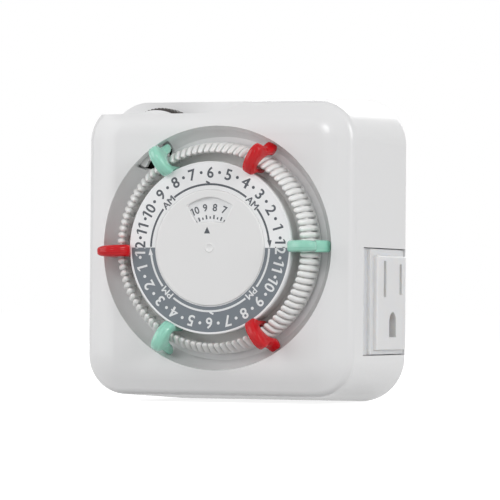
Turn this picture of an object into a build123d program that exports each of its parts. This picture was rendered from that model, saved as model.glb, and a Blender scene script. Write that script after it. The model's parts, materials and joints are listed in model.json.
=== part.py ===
"""Plug-in timer switch: a 24 hour dial with six trippers in a moulded case.

Millimetres. X runs to the right and Z up as the dial is read. Y runs back to
the wall: the origin is on the dial axis, in the face that meets the wall.
Depths are given as "forward" distances, measured from the wall face towards
the reader, so a forward distance of 10 is the plane y = -10.
"""
from build123d import *
from math import acos, asin, atan, cos, degrees, pi, radians, sin, tan
import os

os.makedirs("parts", exist_ok=True)

# ---- case ----
case_depth = 43.5            # wall face to the rim of the dial well
rear_width = 75.0
rear_height = 80.14
rear_corner = 12.1
front_width = 73.8           # the case tapers a little towards the front
front_height = 76.3
front_corner = 10.3
face_fall = 2.6              # how far the front face falls back at its edge
face_fall_width = 6.2        # width of the band in which it falls
face_blend = 12.0
front_edge_fillet = 2.4
rear_edge_fillet = 1.5
wall = 2.2
cover_thickness = 2.6
fit_gap = 0.15               # moulded pieces that drop into each other
cover_gap = 0.35             # the cover drops into a case that tapers

# ---- dial well ----
well_rim_radius = 31.67
well_floor_radius = 29.0
well_bulge_radius = 30.9     # the well's wall is dished, not a plain cone
well_depth = 5.2
floor_thickness = 1.8
well_wall = 1.6

# ---- dial ----
disc_radius = 22.27
disc_thickness = 2.0
disc_stands_out = 4.1        # dial face in front of the rim
cap_radius = 15.0
cap_thickness = 0.8
cap_rim = 0.6                # thickness of the cap's outer edge
cap_recess_gap = 0.15
window_inner = 6.6
window_outer = 13.0
window_half_angle = 31.0
window_corner = 1.0
ring_inner_radius = 24.5
ring_crest_radius = 27.0
ring_outer_radius = 27.4
ring_crest_out = 3.8         # inner crest in front of the rim
ring_crest_inset = 0.6       # the crest's inner corner is cut back
ring_shoulder_out = 1.0      # outer shoulder in front of the rim
rib_count = 96
rib_gap = 0.55
rib_gap_depth = 0.7
rib_root_radius = 26.4       # outside, the gaps run down the ribs to this radius
rib_foot = 0.45              # and stop this far above the carrier's rear
carrier_floor_gap = 0.6
carrier_base = 1.8
disc_seat_outer = 22.0
disc_seat_inner = 20.4
hub_radius = 5.0
hub_floor_gap = 0.4
post_radius = 2.5
running_gap = 0.05
gear_seat_radius = 3.6
cap_boss_radius = 3.8
cap_boss_length = 2.8

# ---- trippers ----
tripper_width = 3.1
tripper_angles = {"on": (1.0, 120.5, 242.0), "off": (61.0, 182.0, 302.0)}
tripper_clearance = 0.35
tripper_leg = 1.35
tripper_leg_depth = 6.4
tripper_crown_radius = 26.7
tripper_crown_out = 8.9      # crown in front of the rim
tripper_cheek = 0.8          # roundness of the body on each side of the crown
tripper_lobe_over = 0.17     # the body's inner lobe hangs over the disc's edge
tripper_lobe_gap = 1.0       # and stands this far in front of the disc
tripper_brow_radius = 30.1   # the body overhangs outside the ring
tripper_brow_out = 6.7
tripper_chin_radius = 29.7
tripper_chin_out = 4.9
tripper_waist_radius = {"on": 28.3, "off": 29.35}
tripper_waist_out = {"on": 3.3, "off": 1.6}
tripper_knee_out = -0.9      # the ring's side of the tail turns outwards here
tripper_tip_radius = 30.8
tripper_tip_out = -2.1       # the tail's tip sinks behind the rim
tripper_tail_out = -3.1
tripper_tail_width = {"on": 1.0, "off": 2.2}
tripper_fillet = 0.7
tripper_foot_fillet = 0.3

# ---- gears ----
pressure_angle = 25.0
addendum = 0.8
dedendum = 1.05
backlash = 0.10
dial_teeth, dial_module = 72, 0.5
pinion_teeth = 10
second_teeth, first_teeth, fine_module = 50, 40, 0.4
second_angle = 235.0         # where the second arbor stands round the dial axis
first_arbor_height = 19.173  # the first arbor above the bottom of the case's rear edge
motor_angle = 60.0           # where the motor stands round the first
wheel_thickness = 1.0
pinion_overlap = 0.2
arbor_pin_radius = 0.8
arbor_hub_radius = 1.4
gear_floor_gap = 1.0         # well floor to the dial gear
dial_gear_thickness = 1.6
layer_gap = 0.6

# ---- movement plate ----
plate_thickness = 1.4
plate_front = 28.9
plate_half_width = 26.0
plate_bottom = -30.0
plate_top = 32.3
plate_corner = 3.0
pillar_radius = 2.6
pillar_points = [(22.0, 21.0), (22.0, -22.0), (-23.0, 4.0)]
small_screw_radius = 0.9
small_screw_head = 1.7
small_screw_head_height = 1.0
small_screw_length = 6.0

# ---- motor ----
motor_radius = 13.0
motor_length = 13.0
can_wall = 0.6
motor_lid = 0.8
bobbin_core_radius = 6.2
bobbin_bore_radius = 5.4
bobbin_flange = 0.8
winding_radius = 11.4
rotor_radius = 4.6
rotor_length = 5.5
motor_shaft_radius = 0.9

# ---- manual override ----
override_point = (-19.8, 26.0)
override_radius = 11.0
override_thickness = 4.0
override_rear = 29.5
knurl_count = 68
knurl_radius = 0.3
override_axle_radius = 2.0
star_radius = 5.1
star_arm_width = 2.0
star_arm_corner = 0.5
star_arms = 4
star_phase = 63.0
star_thickness = 1.3
star_floor_gap = 0.4
star_pocket_gap = 0.7
notch_radius = 31.6          # the notch over the star wheel stops just inside the well's rim
star_hub_wall = 1.2          # the floor is open below the star wheel, round its hub
star_opening_inset = 0.4
cam_radius = 3.4
cam_flat = 0.6
cam_front = 23.2
cam_thickness = 3.0

# ---- scoop in the top for the override wheel ----
scoop_floor = 35.0
scoop_right = 7.5
scoop_flat_right = -7.0
scoop_rise = 3.2
scoop_depth = 17.0
slot_half_length = 9.3
slot_side_gap = 0.4
guard_middle = -20.6         # a low arched lip stands in front of the wheel
guard_radius = 10.6
guard_height = 1.35
guard_thickness = 1.3

# ---- switch ----
lever_pivot = (-4.0, 30.5)
lever_left = -21.5
lever_right = 11.4
lever_bottom = 29.6
lever_top = 31.4
lever_rear = 20.4
lever_thickness = 2.4
lever_hub_radius = 1.7
lever_pin_radius = 0.8
lever_pin_reach = 0.6        # how far the pin stands out behind the lever
rivet_x = 8.5
rivet_radius = 1.3
rivet_height = 0.7
contact_gap = 0.06
strip_thickness = 0.6
switch_base_left, switch_base_right = 1.0, 17.0
switch_base_bottom, switch_base_top = 21.0, 27.0
switch_column_left = 13.0
switch_base_rear = 19.0

# ---- side receptacle ----
pocket_front = 33.2
pocket_rear = 1.0
receptacle_centre = 13.0     # forward distance of the slot pair's middle
receptacle_height = 32.47 - rear_height / 2
pocket_bottom, pocket_top = receptacle_height - 19.9, receptacle_height + 8.1
pocket_floor_x = rear_width / 2 - 1.5
step_front = 27.7
step_x = rear_width / 2 - 0.6
block_front, block_rear = 25.2, 2.4
block_bottom, block_top = receptacle_height - 18.5, receptacle_height + 6.1
block_x = rear_width / 2 + 0.6
insert_back_x = rear_width / 2 - wall
slot_spacing = 12.7
ground_drop = 11.9
neutral_slot_height, line_slot_height = 9.4, 8.0
slot_width = 2.0
ground_hole_width = 5.6
ground_hole_height = 6.6
contact_block_gap = 0.2
contact_block_depth = 19.6
contact_floor_thickness = 2.0
contact_block_front = insert_back_x - contact_block_gap
contact_block_back = contact_block_front - contact_block_depth
contact_cell_floor = contact_block_back + contact_floor_thickness
cell_side = 0.4             # room beside a contact in its cell
cell_wall = 0.8
clip_gap = 0.85              # half the blade space between the two leaves
clip_leaf = 0.6
clip_length = 14.0
ground_clip_gap = 2.45
clip_side_gap = 0.3
tail_half = 0.4              # half the thickness of a contact's tail
tail_height = 2.8

# ---- plug ----
blade_spacing = 12.7
blade_thickness = 1.52
line_blade_width, neutral_blade_width = 6.35, 7.9
blade_length = 17.9
plug_height = 8.0            # height of the blade pair above the dial axis
ground_pin_radius = 2.38
ground_pin_length = 21.0
blade_hole_radius = 1.6
blade_hole_reach = 11.9      # from the wall face to the middle of the hole
blade_tab = 9.0
tab_extra = 1.4
pin_shoulder_radius = 2.9
pin_shoulder_taper = 0.5
pin_flange_radius = 3.6
pin_flange = 2.0

# ---- case screws ----
screw_inset_x, screw_inset_z = 8.2, 8.77
screw_x, screw_z = rear_width / 2 - screw_inset_x, rear_height / 2 - screw_inset_z
screw_points = [(screw_x, screw_z), (screw_x, -screw_z), (-screw_x, -screw_z), (-screw_x - 1.1, 6.0)]
screw_boss_radius = 3.0
screw_radius = 1.25
screw_head_radius = 2.3
screw_head_height = 1.3
screw_length = 12.0

# ---- straps and leads inside the case ----
strap_thickness = 0.8
strap_width = 2.4
strap_end_x = contact_block_back - 0.8   # where the straps meet the contacts' tails
neutral_strap_height = 1.4   # the cross run passes under the line blade's tab
ground_strap_height = -3.9
load_strap_height = 10.2
lead_radius = 0.6
leaf_thickness = 0.5
leaf_gap = 0.15

# ---- depths worked out from the sizes above ----
rim = case_depth
floor_front = rim - well_depth
floor_rear = floor_front - floor_thickness
disc_front = rim + disc_stands_out
disc_rear = disc_front - disc_thickness
cap_front = disc_front + 0.25
cap_rear = cap_front - cap_thickness
recess_floor = cap_rear - cap_recess_gap
carrier_rear = floor_front + carrier_floor_gap
carrier_front = carrier_rear + carrier_base
dial_gear_front = floor_rear - gear_floor_gap
dial_gear_rear = dial_gear_front - dial_gear_thickness
hub_front = cap_rear - cap_boss_length - 0.4
plate_rear = plate_front - plate_thickness
boss_top = floor_rear
second_wheel_front = dial_gear_rear - layer_gap
second_wheel_rear = second_wheel_front - wheel_thickness
first_wheel_front = second_wheel_rear - layer_gap
first_wheel_rear = first_wheel_front - wheel_thickness
inner_front = rim - face_fall - wall
motor_front = plate_rear
motor_rear = motor_front - motor_length

# ---- planes, and a circle's point ----
section = Plane(origin=(0, 0, 0), x_dir=(1, 0, 0), z_dir=(0, 0, -1))


def ahead(forward):
    """The plane a given distance in front of the wall face, seen as the dial is read."""
    return Plane.XZ.offset(forward)


def radial_plane(angle):
    """Plane through the dial axis: local x is the radius at that angle, local y is forward."""
    c, s = cos(radians(angle)), sin(radians(angle))
    return Plane(origin=(0, 0, 0), x_dir=(c, 0, s), z_dir=(s, 0, -c))


def polar(radius, angle, centre=(0, 0)):
    return (centre[0] + radius * cos(radians(angle)), centre[1] + radius * sin(radians(angle)))


def finish(piece, name):
    piece.part.label = name
    export_step(piece.part, f"parts/{name}.step")


# ---- gear teeth ----
def involute(angle):
    return tan(angle) - angle


def gear_face(teeth, module, phase):
    """Involute gear outline with one tooth centred on the phase angle."""
    pitch = teeth * module / 2
    pressure = radians(pressure_angle)
    base = pitch * cos(pressure)
    root, tip = pitch - dedendum * module, pitch + addendum * module
    flank_start = max(root, base)
    at_base = pi / (2 * teeth) - backlash / (4 * pitch) + involute(pressure)

    def half(radius):
        return degrees(at_base - involute(acos(min(1, base / radius))))

    radii = (flank_start, (flank_start + tip) / 2, tip)
    with BuildSketch() as outline:
        with BuildLine():
            for tooth in range(teeth):
                middle = phase + 360 * tooth / teeth
                after = middle + 360 / teeth
                rising = [polar(r, middle - half(r)) for r in radii]
                falling = [polar(r, middle + half(r)) for r in reversed(radii)]
                foot = degrees(at_base) if root < base else half(root)
                if root < base:
                    Line(polar(root, middle - foot), rising[0])
                ThreePointArc(*rising)
                Line(rising[2], falling[0])
                ThreePointArc(*falling)
                if root < base:
                    Line(falling[2], polar(root, middle + foot))
                Line(polar(root, middle + foot), polar(root, after - foot))
        make_face()
    return outline.sketch


def meshed_phase(driver_teeth, driver_phase, angle, teeth):
    """Phase that puts a gear in mesh with its neighbour, which sees it at that angle."""
    part_of_tooth = (angle - driver_phase) / (360 / driver_teeth)
    return angle + 180 - (0.5 - part_of_tooth) * 360 / teeth


# ---- arbors, from the dial axis back to the motor ----
second_spacing = (dial_teeth + pinion_teeth) * dial_module / 2
first_spacing = (second_teeth + pinion_teeth) * fine_module / 2
motor_spacing = (first_teeth + pinion_teeth) * fine_module / 2
second_point = polar(second_spacing, second_angle)
first_drop = second_point[1] - (first_arbor_height - rear_height / 2)
first_angle = 180 + degrees(asin(first_drop / first_spacing))
first_point = polar(first_spacing, first_angle, second_point)
motor_point = polar(motor_spacing, motor_angle, first_point)
dial_phase = second_angle
second_pinion_phase = meshed_phase(dial_teeth, dial_phase, second_angle, pinion_teeth)
second_wheel_phase = first_angle
first_pinion_phase = meshed_phase(second_teeth, second_wheel_phase, first_angle, pinion_teeth)
first_wheel_phase = motor_angle
motor_pinion_phase = meshed_phase(first_teeth, first_wheel_phase, motor_angle, pinion_teeth)


# ---- front housing ----
with BuildPart() as cavity:
    for forward, width, height, corner in (
        (-1, rear_width, rear_height, rear_corner),
        (rim - face_fall - wall, front_width, front_height, front_corner),
        (rim - wall, front_width - 2 * face_fall_width, front_height - 2 * face_fall_width,
         front_corner - face_fall_width + wall + 0.4),
    ):
        with BuildSketch(ahead(forward)):
            RectangleRounded(width - 2 * wall, height - 2 * wall, corner - wall)
    loft(ruled=True)
    # the scoop's floor and back wall stay solid
    with BuildSketch(ahead(rim - scoop_depth - wall)):
        with Locations((scoop_right + wall, scoop_floor - wall)):
            Rectangle(rear_width, rear_height, align=(Align.MAX, Align.MIN))
    extrude(amount=rim, mode=Mode.SUBTRACT)
    # and so do the bosses for the case screws
    with BuildSketch(ahead(cover_thickness)):
        with Locations(*screw_points):
            Circle(screw_boss_radius)
    extrude(amount=rim, mode=Mode.SUBTRACT)

with BuildPart() as front_housing:
    for forward, width, height, corner in (
        (0, rear_width, rear_height, rear_corner),
        (rim - face_fall, front_width, front_height, front_corner),
        (rim, front_width - 2 * face_fall_width, front_height - 2 * face_fall_width,
         front_corner - face_fall_width),
    ):
        with BuildSketch(ahead(forward)):
            RectangleRounded(width, height, corner)
    loft(ruled=True)
    by_depth = front_housing.edges().group_by(Axis.Y)
    fillet(by_depth[0], face_blend)
    shoulder = front_housing.edges().filter_by(
        lambda e: abs(e.center().Y + rim - face_fall) < 0.01)
    fillet(shoulder, front_edge_fillet)
    fillet(front_housing.edges().group_by(Axis.Y)[-1], rear_edge_fillet)
    add(cavity.part, mode=Mode.SUBTRACT)
    # tub behind the dial, and the block that carries the star wheel
    with BuildSketch(ahead(floor_rear)):
        Circle(well_rim_radius + well_wall)
    extrude(amount=rim - wall - floor_rear)
    with BuildSketch(ahead(floor_rear)):
        with Locations(override_point):
            Circle(star_radius + star_pocket_gap + well_wall)
    extrude(amount=rim - 2 * wall - floor_rear)
    with BuildSketch(section):
        with BuildLine():
            Polyline((0, rim + 1), (0, floor_front), (well_floor_radius, floor_front))
            ThreePointArc((well_floor_radius, floor_front),
                          (well_bulge_radius, floor_front + well_depth * 0.45),
                          (well_rim_radius, rim))
            Polyline((well_rim_radius, rim), (well_rim_radius, rim + 1), (0, rim + 1))
        make_face()
    revolve(axis=Axis.Y, mode=Mode.SUBTRACT)
    with BuildSketch(ahead(floor_rear - 1)):
        Circle(hub_radius + hub_floor_gap)
        with Locations(override_point):
            Circle(override_axle_radius + running_gap)
    extrude(amount=floor_thickness + 2, mode=Mode.SUBTRACT)
    with BuildSketch(ahead(floor_front)):
        with Locations(override_point):
            Circle(star_radius + star_pocket_gap)
    extrude(amount=star_thickness + 2 * star_floor_gap, mode=Mode.SUBTRACT)
    with BuildSketch(ahead(floor_front)):
        with Locations(override_point):
            Circle(star_radius + star_pocket_gap)
        Circle(notch_radius, mode=Mode.INTERSECT)
    extrude(amount=well_depth + 1, mode=Mode.SUBTRACT)
    with BuildSketch(ahead(floor_rear - 1)):
        with Locations(override_point):
            Circle(star_radius + star_pocket_gap - star_opening_inset)
            Circle(override_axle_radius + star_hub_wall, mode=Mode.SUBTRACT)
            Rectangle(4 * star_radius, 2 * star_radius, align=(Align.CENTER, Align.MAX), mode=Mode.INTERSECT)
    extrude(amount=floor_thickness + 2, mode=Mode.SUBTRACT)
    # pillars for the movement plate, and holes for the case screws
    with BuildSketch(ahead(plate_front)):
        with Locations(*pillar_points):
            Circle(pillar_radius)
    extrude(amount=boss_top - plate_front)
    with BuildSketch(ahead(plate_front)):
        with Locations(*pillar_points):
            Circle(small_screw_radius)
    extrude(amount=small_screw_length, mode=Mode.SUBTRACT)
    with BuildSketch(ahead(cover_thickness)):
        with Locations(*screw_points):
            Circle(screw_radius + running_gap)
    extrude(amount=screw_length, mode=Mode.SUBTRACT)
    # scoop in the top, and the slot that the override wheel comes through
    with BuildSketch(ahead(rim - scoop_depth)):
        with BuildLine():
            Polyline((-rear_width, rear_height), (-rear_width, scoop_floor), (scoop_flat_right, scoop_floor))
            ThreePointArc((scoop_flat_right, scoop_floor),
                          ((scoop_flat_right + scoop_right) / 2, scoop_floor + scoop_rise / 4),
                          (scoop_right, scoop_floor + scoop_rise))
            Polyline((scoop_right, scoop_floor + scoop_rise), (scoop_right, rear_height),
                     (-rear_width, rear_height))
        make_face()
    extrude(amount=rim, mode=Mode.SUBTRACT)
    with BuildSketch(ahead(override_rear - slot_side_gap)):
        with Locations((override_point[0], scoop_floor - wall - 1)):
            Rectangle(2 * slot_half_length, 10, align=(Align.CENTER, Align.MIN))
    extrude(amount=override_thickness + 2 * slot_side_gap, mode=Mode.SUBTRACT)
    with BuildSketch(ahead(override_rear + override_thickness + slot_side_gap)):
        with Locations((guard_middle, scoop_floor + guard_height - guard_radius)):
            Circle(guard_radius)
        with Locations((guard_middle, scoop_floor - wall / 2)):
            Rectangle(2 * guard_radius, guard_radius, align=(Align.CENTER, Align.MIN),
                      mode=Mode.INTERSECT)
    extrude(amount=guard_thickness)
    # opening for the side receptacle
    with BuildSketch(ahead(pocket_rear)):
        with Locations((rear_width / 2 + 5, (pocket_bottom + pocket_top) / 2)):
            Rectangle(5 + wall + 3, pocket_top - pocket_bottom, align=(Align.MAX, Align.CENTER))
    extrude(amount=pocket_front - pocket_rear, mode=Mode.SUBTRACT)
finish(front_housing, "front_housing")

# ---- rear cover ----
with BuildPart() as rear_cover:
    with BuildSketch(ahead(0)):
        RectangleRounded(rear_width - 2 * wall - 2 * cover_gap, rear_height - 2 * wall - 2 * cover_gap,
                         rear_corner - wall - cover_gap)
    extrude(amount=cover_thickness)
    with BuildSketch(ahead(0)):
        for side, width in ((-1, neutral_blade_width), (1, line_blade_width)):
            with Locations((side * blade_spacing / 2, plug_height)):
                Rectangle(blade_thickness + 2 * running_gap, width + 2 * running_gap)
        with Locations((0, plug_height - ground_drop)):
            Circle(pin_shoulder_radius + running_gap)
        with Locations(*screw_points):
            Circle(screw_radius + fit_gap)
    extrude(amount=cover_thickness, mode=Mode.SUBTRACT)
    with BuildSketch(ahead(0)):
        with Locations(*screw_points):
            Circle(screw_head_radius + fit_gap)
    extrude(amount=screw_head_height + 0.1, mode=Mode.SUBTRACT)
finish(rear_cover, "rear_cover")

# ---- case screws: pan heads in counterbores, self-tapping in the bosses ----
with BuildPart() as case_screws:
    with BuildSketch(ahead(0.1)):
        with Locations(*screw_points):
            Circle(screw_head_radius)
    extrude(amount=screw_head_height)
    with BuildSketch(ahead(0.1 + screw_head_height)):
        with Locations(*screw_points):
            Circle(screw_radius)
    extrude(amount=screw_length - screw_head_height)
finish(case_screws, "case_screws")

# ---- movement plate, its screws, and the post and pins riveted into it ----
with BuildPart() as movement_plate:
    with BuildSketch(ahead(plate_rear)):
        with Locations((0, (plate_top + plate_bottom) / 2)):
            RectangleRounded(2 * plate_half_width, plate_top - plate_bottom, plate_corner)
        Circle(post_radius, mode=Mode.SUBTRACT)
        with Locations(second_point, first_point):
            Circle(arbor_pin_radius, mode=Mode.SUBTRACT)
        with Locations(motor_point):
            Circle(motor_shaft_radius + running_gap, mode=Mode.SUBTRACT)
        with Locations(override_point):
            Circle(override_axle_radius + running_gap, mode=Mode.SUBTRACT)
        with Locations(lever_pivot):
            Circle(lever_pin_radius, mode=Mode.SUBTRACT)
        with Locations(*pillar_points):
            Circle(small_screw_radius + running_gap, mode=Mode.SUBTRACT)
    extrude(amount=plate_thickness)
finish(movement_plate, "movement_plate")

with BuildPart() as plate_screws:
    with BuildSketch(ahead(plate_rear - small_screw_head_height)):
        with Locations(*pillar_points):
            Circle(small_screw_head)
    extrude(amount=small_screw_head_height)
    with BuildSketch(ahead(plate_rear)):
        with Locations(*pillar_points):
            Circle(small_screw_radius - running_gap / 2)
    extrude(amount=plate_thickness + small_screw_length - 0.5)
finish(plate_screws, "plate_screws")

with BuildPart() as dial_post:
    with BuildSketch(ahead(plate_rear)):
        Circle(post_radius)
    extrude(amount=cap_rear - plate_rear)
finish(dial_post, "dial_post")

with BuildPart() as arbor_pins:
    for point in (second_point, first_point):
        with BuildSketch(ahead(plate_rear)):
            with Locations(point):
                Circle(arbor_pin_radius)
        extrude(amount=floor_rear - plate_rear)
finish(arbor_pins, "arbor_pins")

# ---- centre cap: fixed on the post, with the time window ----
with BuildPart() as centre_cap:
    with BuildSketch(ahead(cap_rear)):
        Circle(cap_radius)
        Circle(post_radius, mode=Mode.SUBTRACT)
    extrude(amount=cap_thickness - cap_rim)
    with BuildSketch(ahead(cap_front - cap_rim)):
        Circle(cap_radius)
    extrude(amount=cap_rim)
    with BuildSketch(ahead(cap_rear - cap_boss_length)):
        Circle(cap_boss_radius)
        Circle(post_radius, mode=Mode.SUBTRACT)
    extrude(amount=cap_boss_length)
    with BuildSketch(ahead(cap_rear)) as window:
        with BuildLine():
            low, high = 90 - window_half_angle, 90 + window_half_angle
            Line(polar(window_inner, low), polar(window_outer, low))
            ThreePointArc(polar(window_outer, low), polar(window_outer, 90), polar(window_outer, high))
            Line(polar(window_outer, high), polar(window_inner, high))
            ThreePointArc(polar(window_inner, high), polar(window_inner, 90), polar(window_inner, low))
        make_face()
        fillet(window.vertices(), window_corner)
    extrude(amount=cap_thickness, mode=Mode.SUBTRACT)
    fillet(centre_cap.edges().filter_by(GeomType.CIRCLE).filter_by(
        lambda e: abs(e.radius - cap_radius) < 0.01 and abs(e.center().Y + cap_front) < 0.01), 0.3)
finish(centre_cap, "centre_cap")

# ---- dial: printed disc, ribbed ring on its carrier, and the gear behind the floor ----
with BuildPart() as scale_disc:
    with BuildSketch(section):
        with BuildLine():
            Polyline((cap_boss_radius + 0.4, disc_rear), (disc_radius, disc_rear),
                     (disc_radius, disc_front), (cap_radius + fit_gap, disc_front),
                     (cap_radius + fit_gap, recess_floor), (cap_boss_radius + 0.4, recess_floor),
                     close=True)
        make_face()
    revolve(axis=Axis.Y)
finish(scale_disc, "scale_disc")

with BuildPart() as tripper_ring:
    with BuildSketch(section):
        with BuildLine():
            Polyline((post_radius + running_gap, dial_gear_rear - 0.2),
                     (gear_seat_radius, dial_gear_rear - 0.2),
                     (gear_seat_radius, dial_gear_front), (hub_radius, dial_gear_front),
                     (hub_radius, carrier_rear), (ring_outer_radius, carrier_rear),
                     (ring_outer_radius, rim + ring_shoulder_out - 0.8),
                     (ring_crest_radius, rim + ring_shoulder_out),
                     (ring_inner_radius + ring_crest_inset, rim + ring_crest_out),
                     (ring_inner_radius, rim + ring_crest_out - ring_crest_inset),
                     (ring_inner_radius, carrier_front), (disc_seat_outer, carrier_front),
                     (disc_seat_outer, disc_rear), (disc_seat_inner, disc_rear),
                     (disc_seat_inner, carrier_front), (hub_radius, carrier_front),
                     (hub_radius, hub_front), (post_radius + running_gap, hub_front), close=True)
        make_face()
    revolve(axis=Axis.Y)
    with BuildSketch(ahead(rim + ring_shoulder_out - rib_gap_depth)):
        with PolarLocations(ring_inner_radius - 1, rib_count, start_angle=180 / rib_count):
            Rectangle(6, rib_gap, align=(Align.MIN, Align.CENTER))
    extrude(amount=10, mode=Mode.SUBTRACT)
    with BuildSketch(ahead(carrier_rear + rib_foot)):
        with PolarLocations(rib_root_radius, rib_count, start_angle=180 / rib_count):
            Rectangle(3, rib_gap, align=(Align.MIN, Align.CENTER))
    extrude(amount=10, mode=Mode.SUBTRACT)
finish(tripper_ring, "tripper_ring")

with BuildPart() as dial_gear:
    with BuildSketch(ahead(dial_gear_rear)):
        add(gear_face(dial_teeth, dial_module, dial_phase))
        Circle(gear_seat_radius, mode=Mode.SUBTRACT)
    extrude(amount=dial_gear_thickness)
finish(dial_gear, "dial_gear")


# ---- trippers: a saddle over the ring, one leg in the groove and one towards the wall ----
def tripper(kind, angle):
    leg_in = disc_radius + tripper_clearance
    leg_out = leg_in + tripper_leg
    crest = rim + ring_crest_out + tripper_clearance
    crest_radius = ring_inner_radius + ring_crest_inset + 0.7 * tripper_clearance
    shoulder = (ring_outer_radius + tripper_clearance, rim + ring_shoulder_out)
    foot = rim + ring_crest_out - tripper_leg_depth
    tail = rim + tripper_tail_out
    tip = (tripper_tip_radius, rim + tripper_tip_out)
    waist = (tripper_waist_radius[kind], rim + tripper_waist_out[kind])
    chin = (tripper_chin_radius, rim + tripper_chin_out)
    brow = (tripper_brow_radius, rim + tripper_brow_out)
    crown = (tripper_crown_radius, rim + tripper_crown_out)
    lobe = (disc_radius - tripper_lobe_over, disc_front + tripper_lobe_gap)
    outer_cheek = ((brow[0] + crown[0]) / 2 + tripper_cheek, (brow[1] + crown[1]) / 2 + tripper_cheek)
    inner_cheek = ((lobe[0] + crown[0]) / 2 - tripper_cheek / 2, (lobe[1] + crown[1]) / 2 + tripper_cheek / 2)
    with BuildPart() as body:
        with BuildSketch(radial_plane(angle)) as profile:
            with BuildLine():
                Polyline(lobe, (leg_in, disc_front + tripper_clearance), (leg_in, foot), (leg_out, foot),
                         (leg_out, crest - tripper_clearance), (crest_radius, crest + running_gap), shoulder,
                         (shoulder[0] + tripper_clearance / 2, rim + tripper_knee_out),
                         (tip[0] - tripper_tail_width[kind] - tripper_clearance, tail),
                         (tip[0] - tripper_clearance, tail), tip)
                if kind == "on":
                    # a switch-on tripper has a sharp notch between its body and its tail
                    Line(tip, waist)
                    Spline(waist, chin, brow, outer_cheek, crown, inner_cheek, lobe)
                else:
                    Spline(tip, waist, chin, brow, outer_cheek, crown, inner_cheek, lobe)
            make_face()
            fillet(profile.vertices().sort_by(Axis.Y)[0:4], tripper_foot_fillet)
        extrude(amount=tripper_width / 2, both=True)
        flanks = body.faces().sort_by(SortBy.AREA)[-2:]
        fillet([edge for flank in flanks for edge in flank.edges().filter_by(GeomType.BSPLINE)],
               tripper_fillet)
    finish(body, f"{kind}_tripper_{tripper_angles[kind].index(angle) + 1}")


for kind, angles in tripper_angles.items():
    for angle in angles:
        tripper(kind, angle)


# ---- gear train ----
def compound_gear(name, point, wheel_teeth, wheel_phase, wheel_rear, pinion_module, pinion_phase,
                  pinion_rear, pinion_front):
    """A wheel with its pinion moulded on, turning on a steel pin."""
    hub_rear, hub_end = plate_front + 0.1, floor_rear - 0.1
    with BuildPart() as gear:
        with BuildSketch(ahead(wheel_rear)):
            with Locations(point):
                add(gear_face(wheel_teeth, fine_module, wheel_phase))
        extrude(amount=wheel_thickness)
        with BuildSketch(ahead(pinion_rear)):
            with Locations(point):
                add(gear_face(pinion_teeth, pinion_module, pinion_phase))
        extrude(amount=pinion_front - pinion_rear)
        with BuildSketch(ahead(hub_rear)):
            with Locations(point):
                Circle(arbor_hub_radius)
        extrude(amount=hub_end - hub_rear)
        with BuildSketch(ahead(hub_rear)):
            with Locations(point):
                Circle(arbor_pin_radius + running_gap)
        extrude(amount=hub_end - hub_rear, mode=Mode.SUBTRACT)
    finish(gear, name)


compound_gear("second_gear", second_point, second_teeth, second_wheel_phase, second_wheel_rear,
              dial_module, second_pinion_phase, second_wheel_front, dial_gear_front + pinion_overlap)
compound_gear("first_gear", first_point, first_teeth, first_wheel_phase, first_wheel_rear,
              fine_module, first_pinion_phase, first_wheel_front, second_wheel_front + pinion_overlap)

with BuildPart() as motor_pinion:
    with BuildSketch(ahead(first_wheel_rear - pinion_overlap)):
        with Locations(motor_point):
            add(gear_face(pinion_teeth, fine_module, motor_pinion_phase))
    extrude(amount=wheel_thickness + 2 * pinion_overlap)
    with BuildSketch(ahead(motor_rear + can_wall + 0.3)):
        with Locations(motor_point):
            Circle(motor_shaft_radius)
    extrude(amount=first_wheel_front - motor_rear - can_wall - 0.3)
finish(motor_pinion, "motor_pinion")

# ---- motor ----
coil_rear = motor_rear + can_wall + 1.2
coil_front = motor_front - motor_lid - 1.2
with BuildPart() as motor_can:
    with BuildSketch(ahead(motor_rear)):
        with Locations(motor_point):
            Circle(motor_radius)
    extrude(amount=motor_length - motor_lid)
    with BuildSketch(ahead(motor_rear + can_wall)):
        with Locations(motor_point):
            Circle(motor_radius - can_wall)
    extrude(amount=motor_length, mode=Mode.SUBTRACT)
finish(motor_can, "motor_can")

with BuildPart() as motor_lid_plate:
    with BuildSketch(ahead(motor_front - motor_lid)):
        with Locations(motor_point):
            Circle(motor_radius)
            Circle(motor_shaft_radius + running_gap, mode=Mode.SUBTRACT)
    extrude(amount=motor_lid)
finish(motor_lid_plate, "motor_lid")

with BuildPart() as coil_bobbin:
    with BuildSketch(ahead(motor_rear + can_wall)):
        with Locations(motor_point):
            Circle(winding_radius + bobbin_flange / 2)
    extrude(amount=coil_rear + bobbin_flange - motor_rear - can_wall)
    with BuildSketch(ahead(coil_rear)):
        with Locations(motor_point):
            Circle(bobbin_core_radius)
    extrude(amount=coil_front - coil_rear)
    with BuildSketch(ahead(coil_front - bobbin_flange)):
        with Locations(motor_point):
            Circle(winding_radius + bobbin_flange / 2)
    extrude(amount=bobbin_flange)
    with BuildSketch(ahead(motor_rear + can_wall)):
        with Locations(motor_point):
            Circle(bobbin_bore_radius)
    extrude(amount=motor_length, mode=Mode.SUBTRACT)
finish(coil_bobbin, "coil_bobbin")

with BuildPart() as coil_winding:
    with BuildSketch(ahead(coil_rear + bobbin_flange)):
        with Locations(motor_point):
            Circle(winding_radius)
            Circle(bobbin_core_radius, mode=Mode.SUBTRACT)
    extrude(amount=coil_front - coil_rear - 2 * bobbin_flange)
finish(coil_winding, "coil_winding")

with BuildPart() as motor_rotor:
    with BuildSketch(ahead((motor_front + motor_rear - rotor_length) / 2)):
        with Locations(motor_point):
            Circle(rotor_radius)
            Circle(motor_shaft_radius, mode=Mode.SUBTRACT)
    extrude(amount=rotor_length)
finish(motor_rotor, "motor_rotor")

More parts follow.
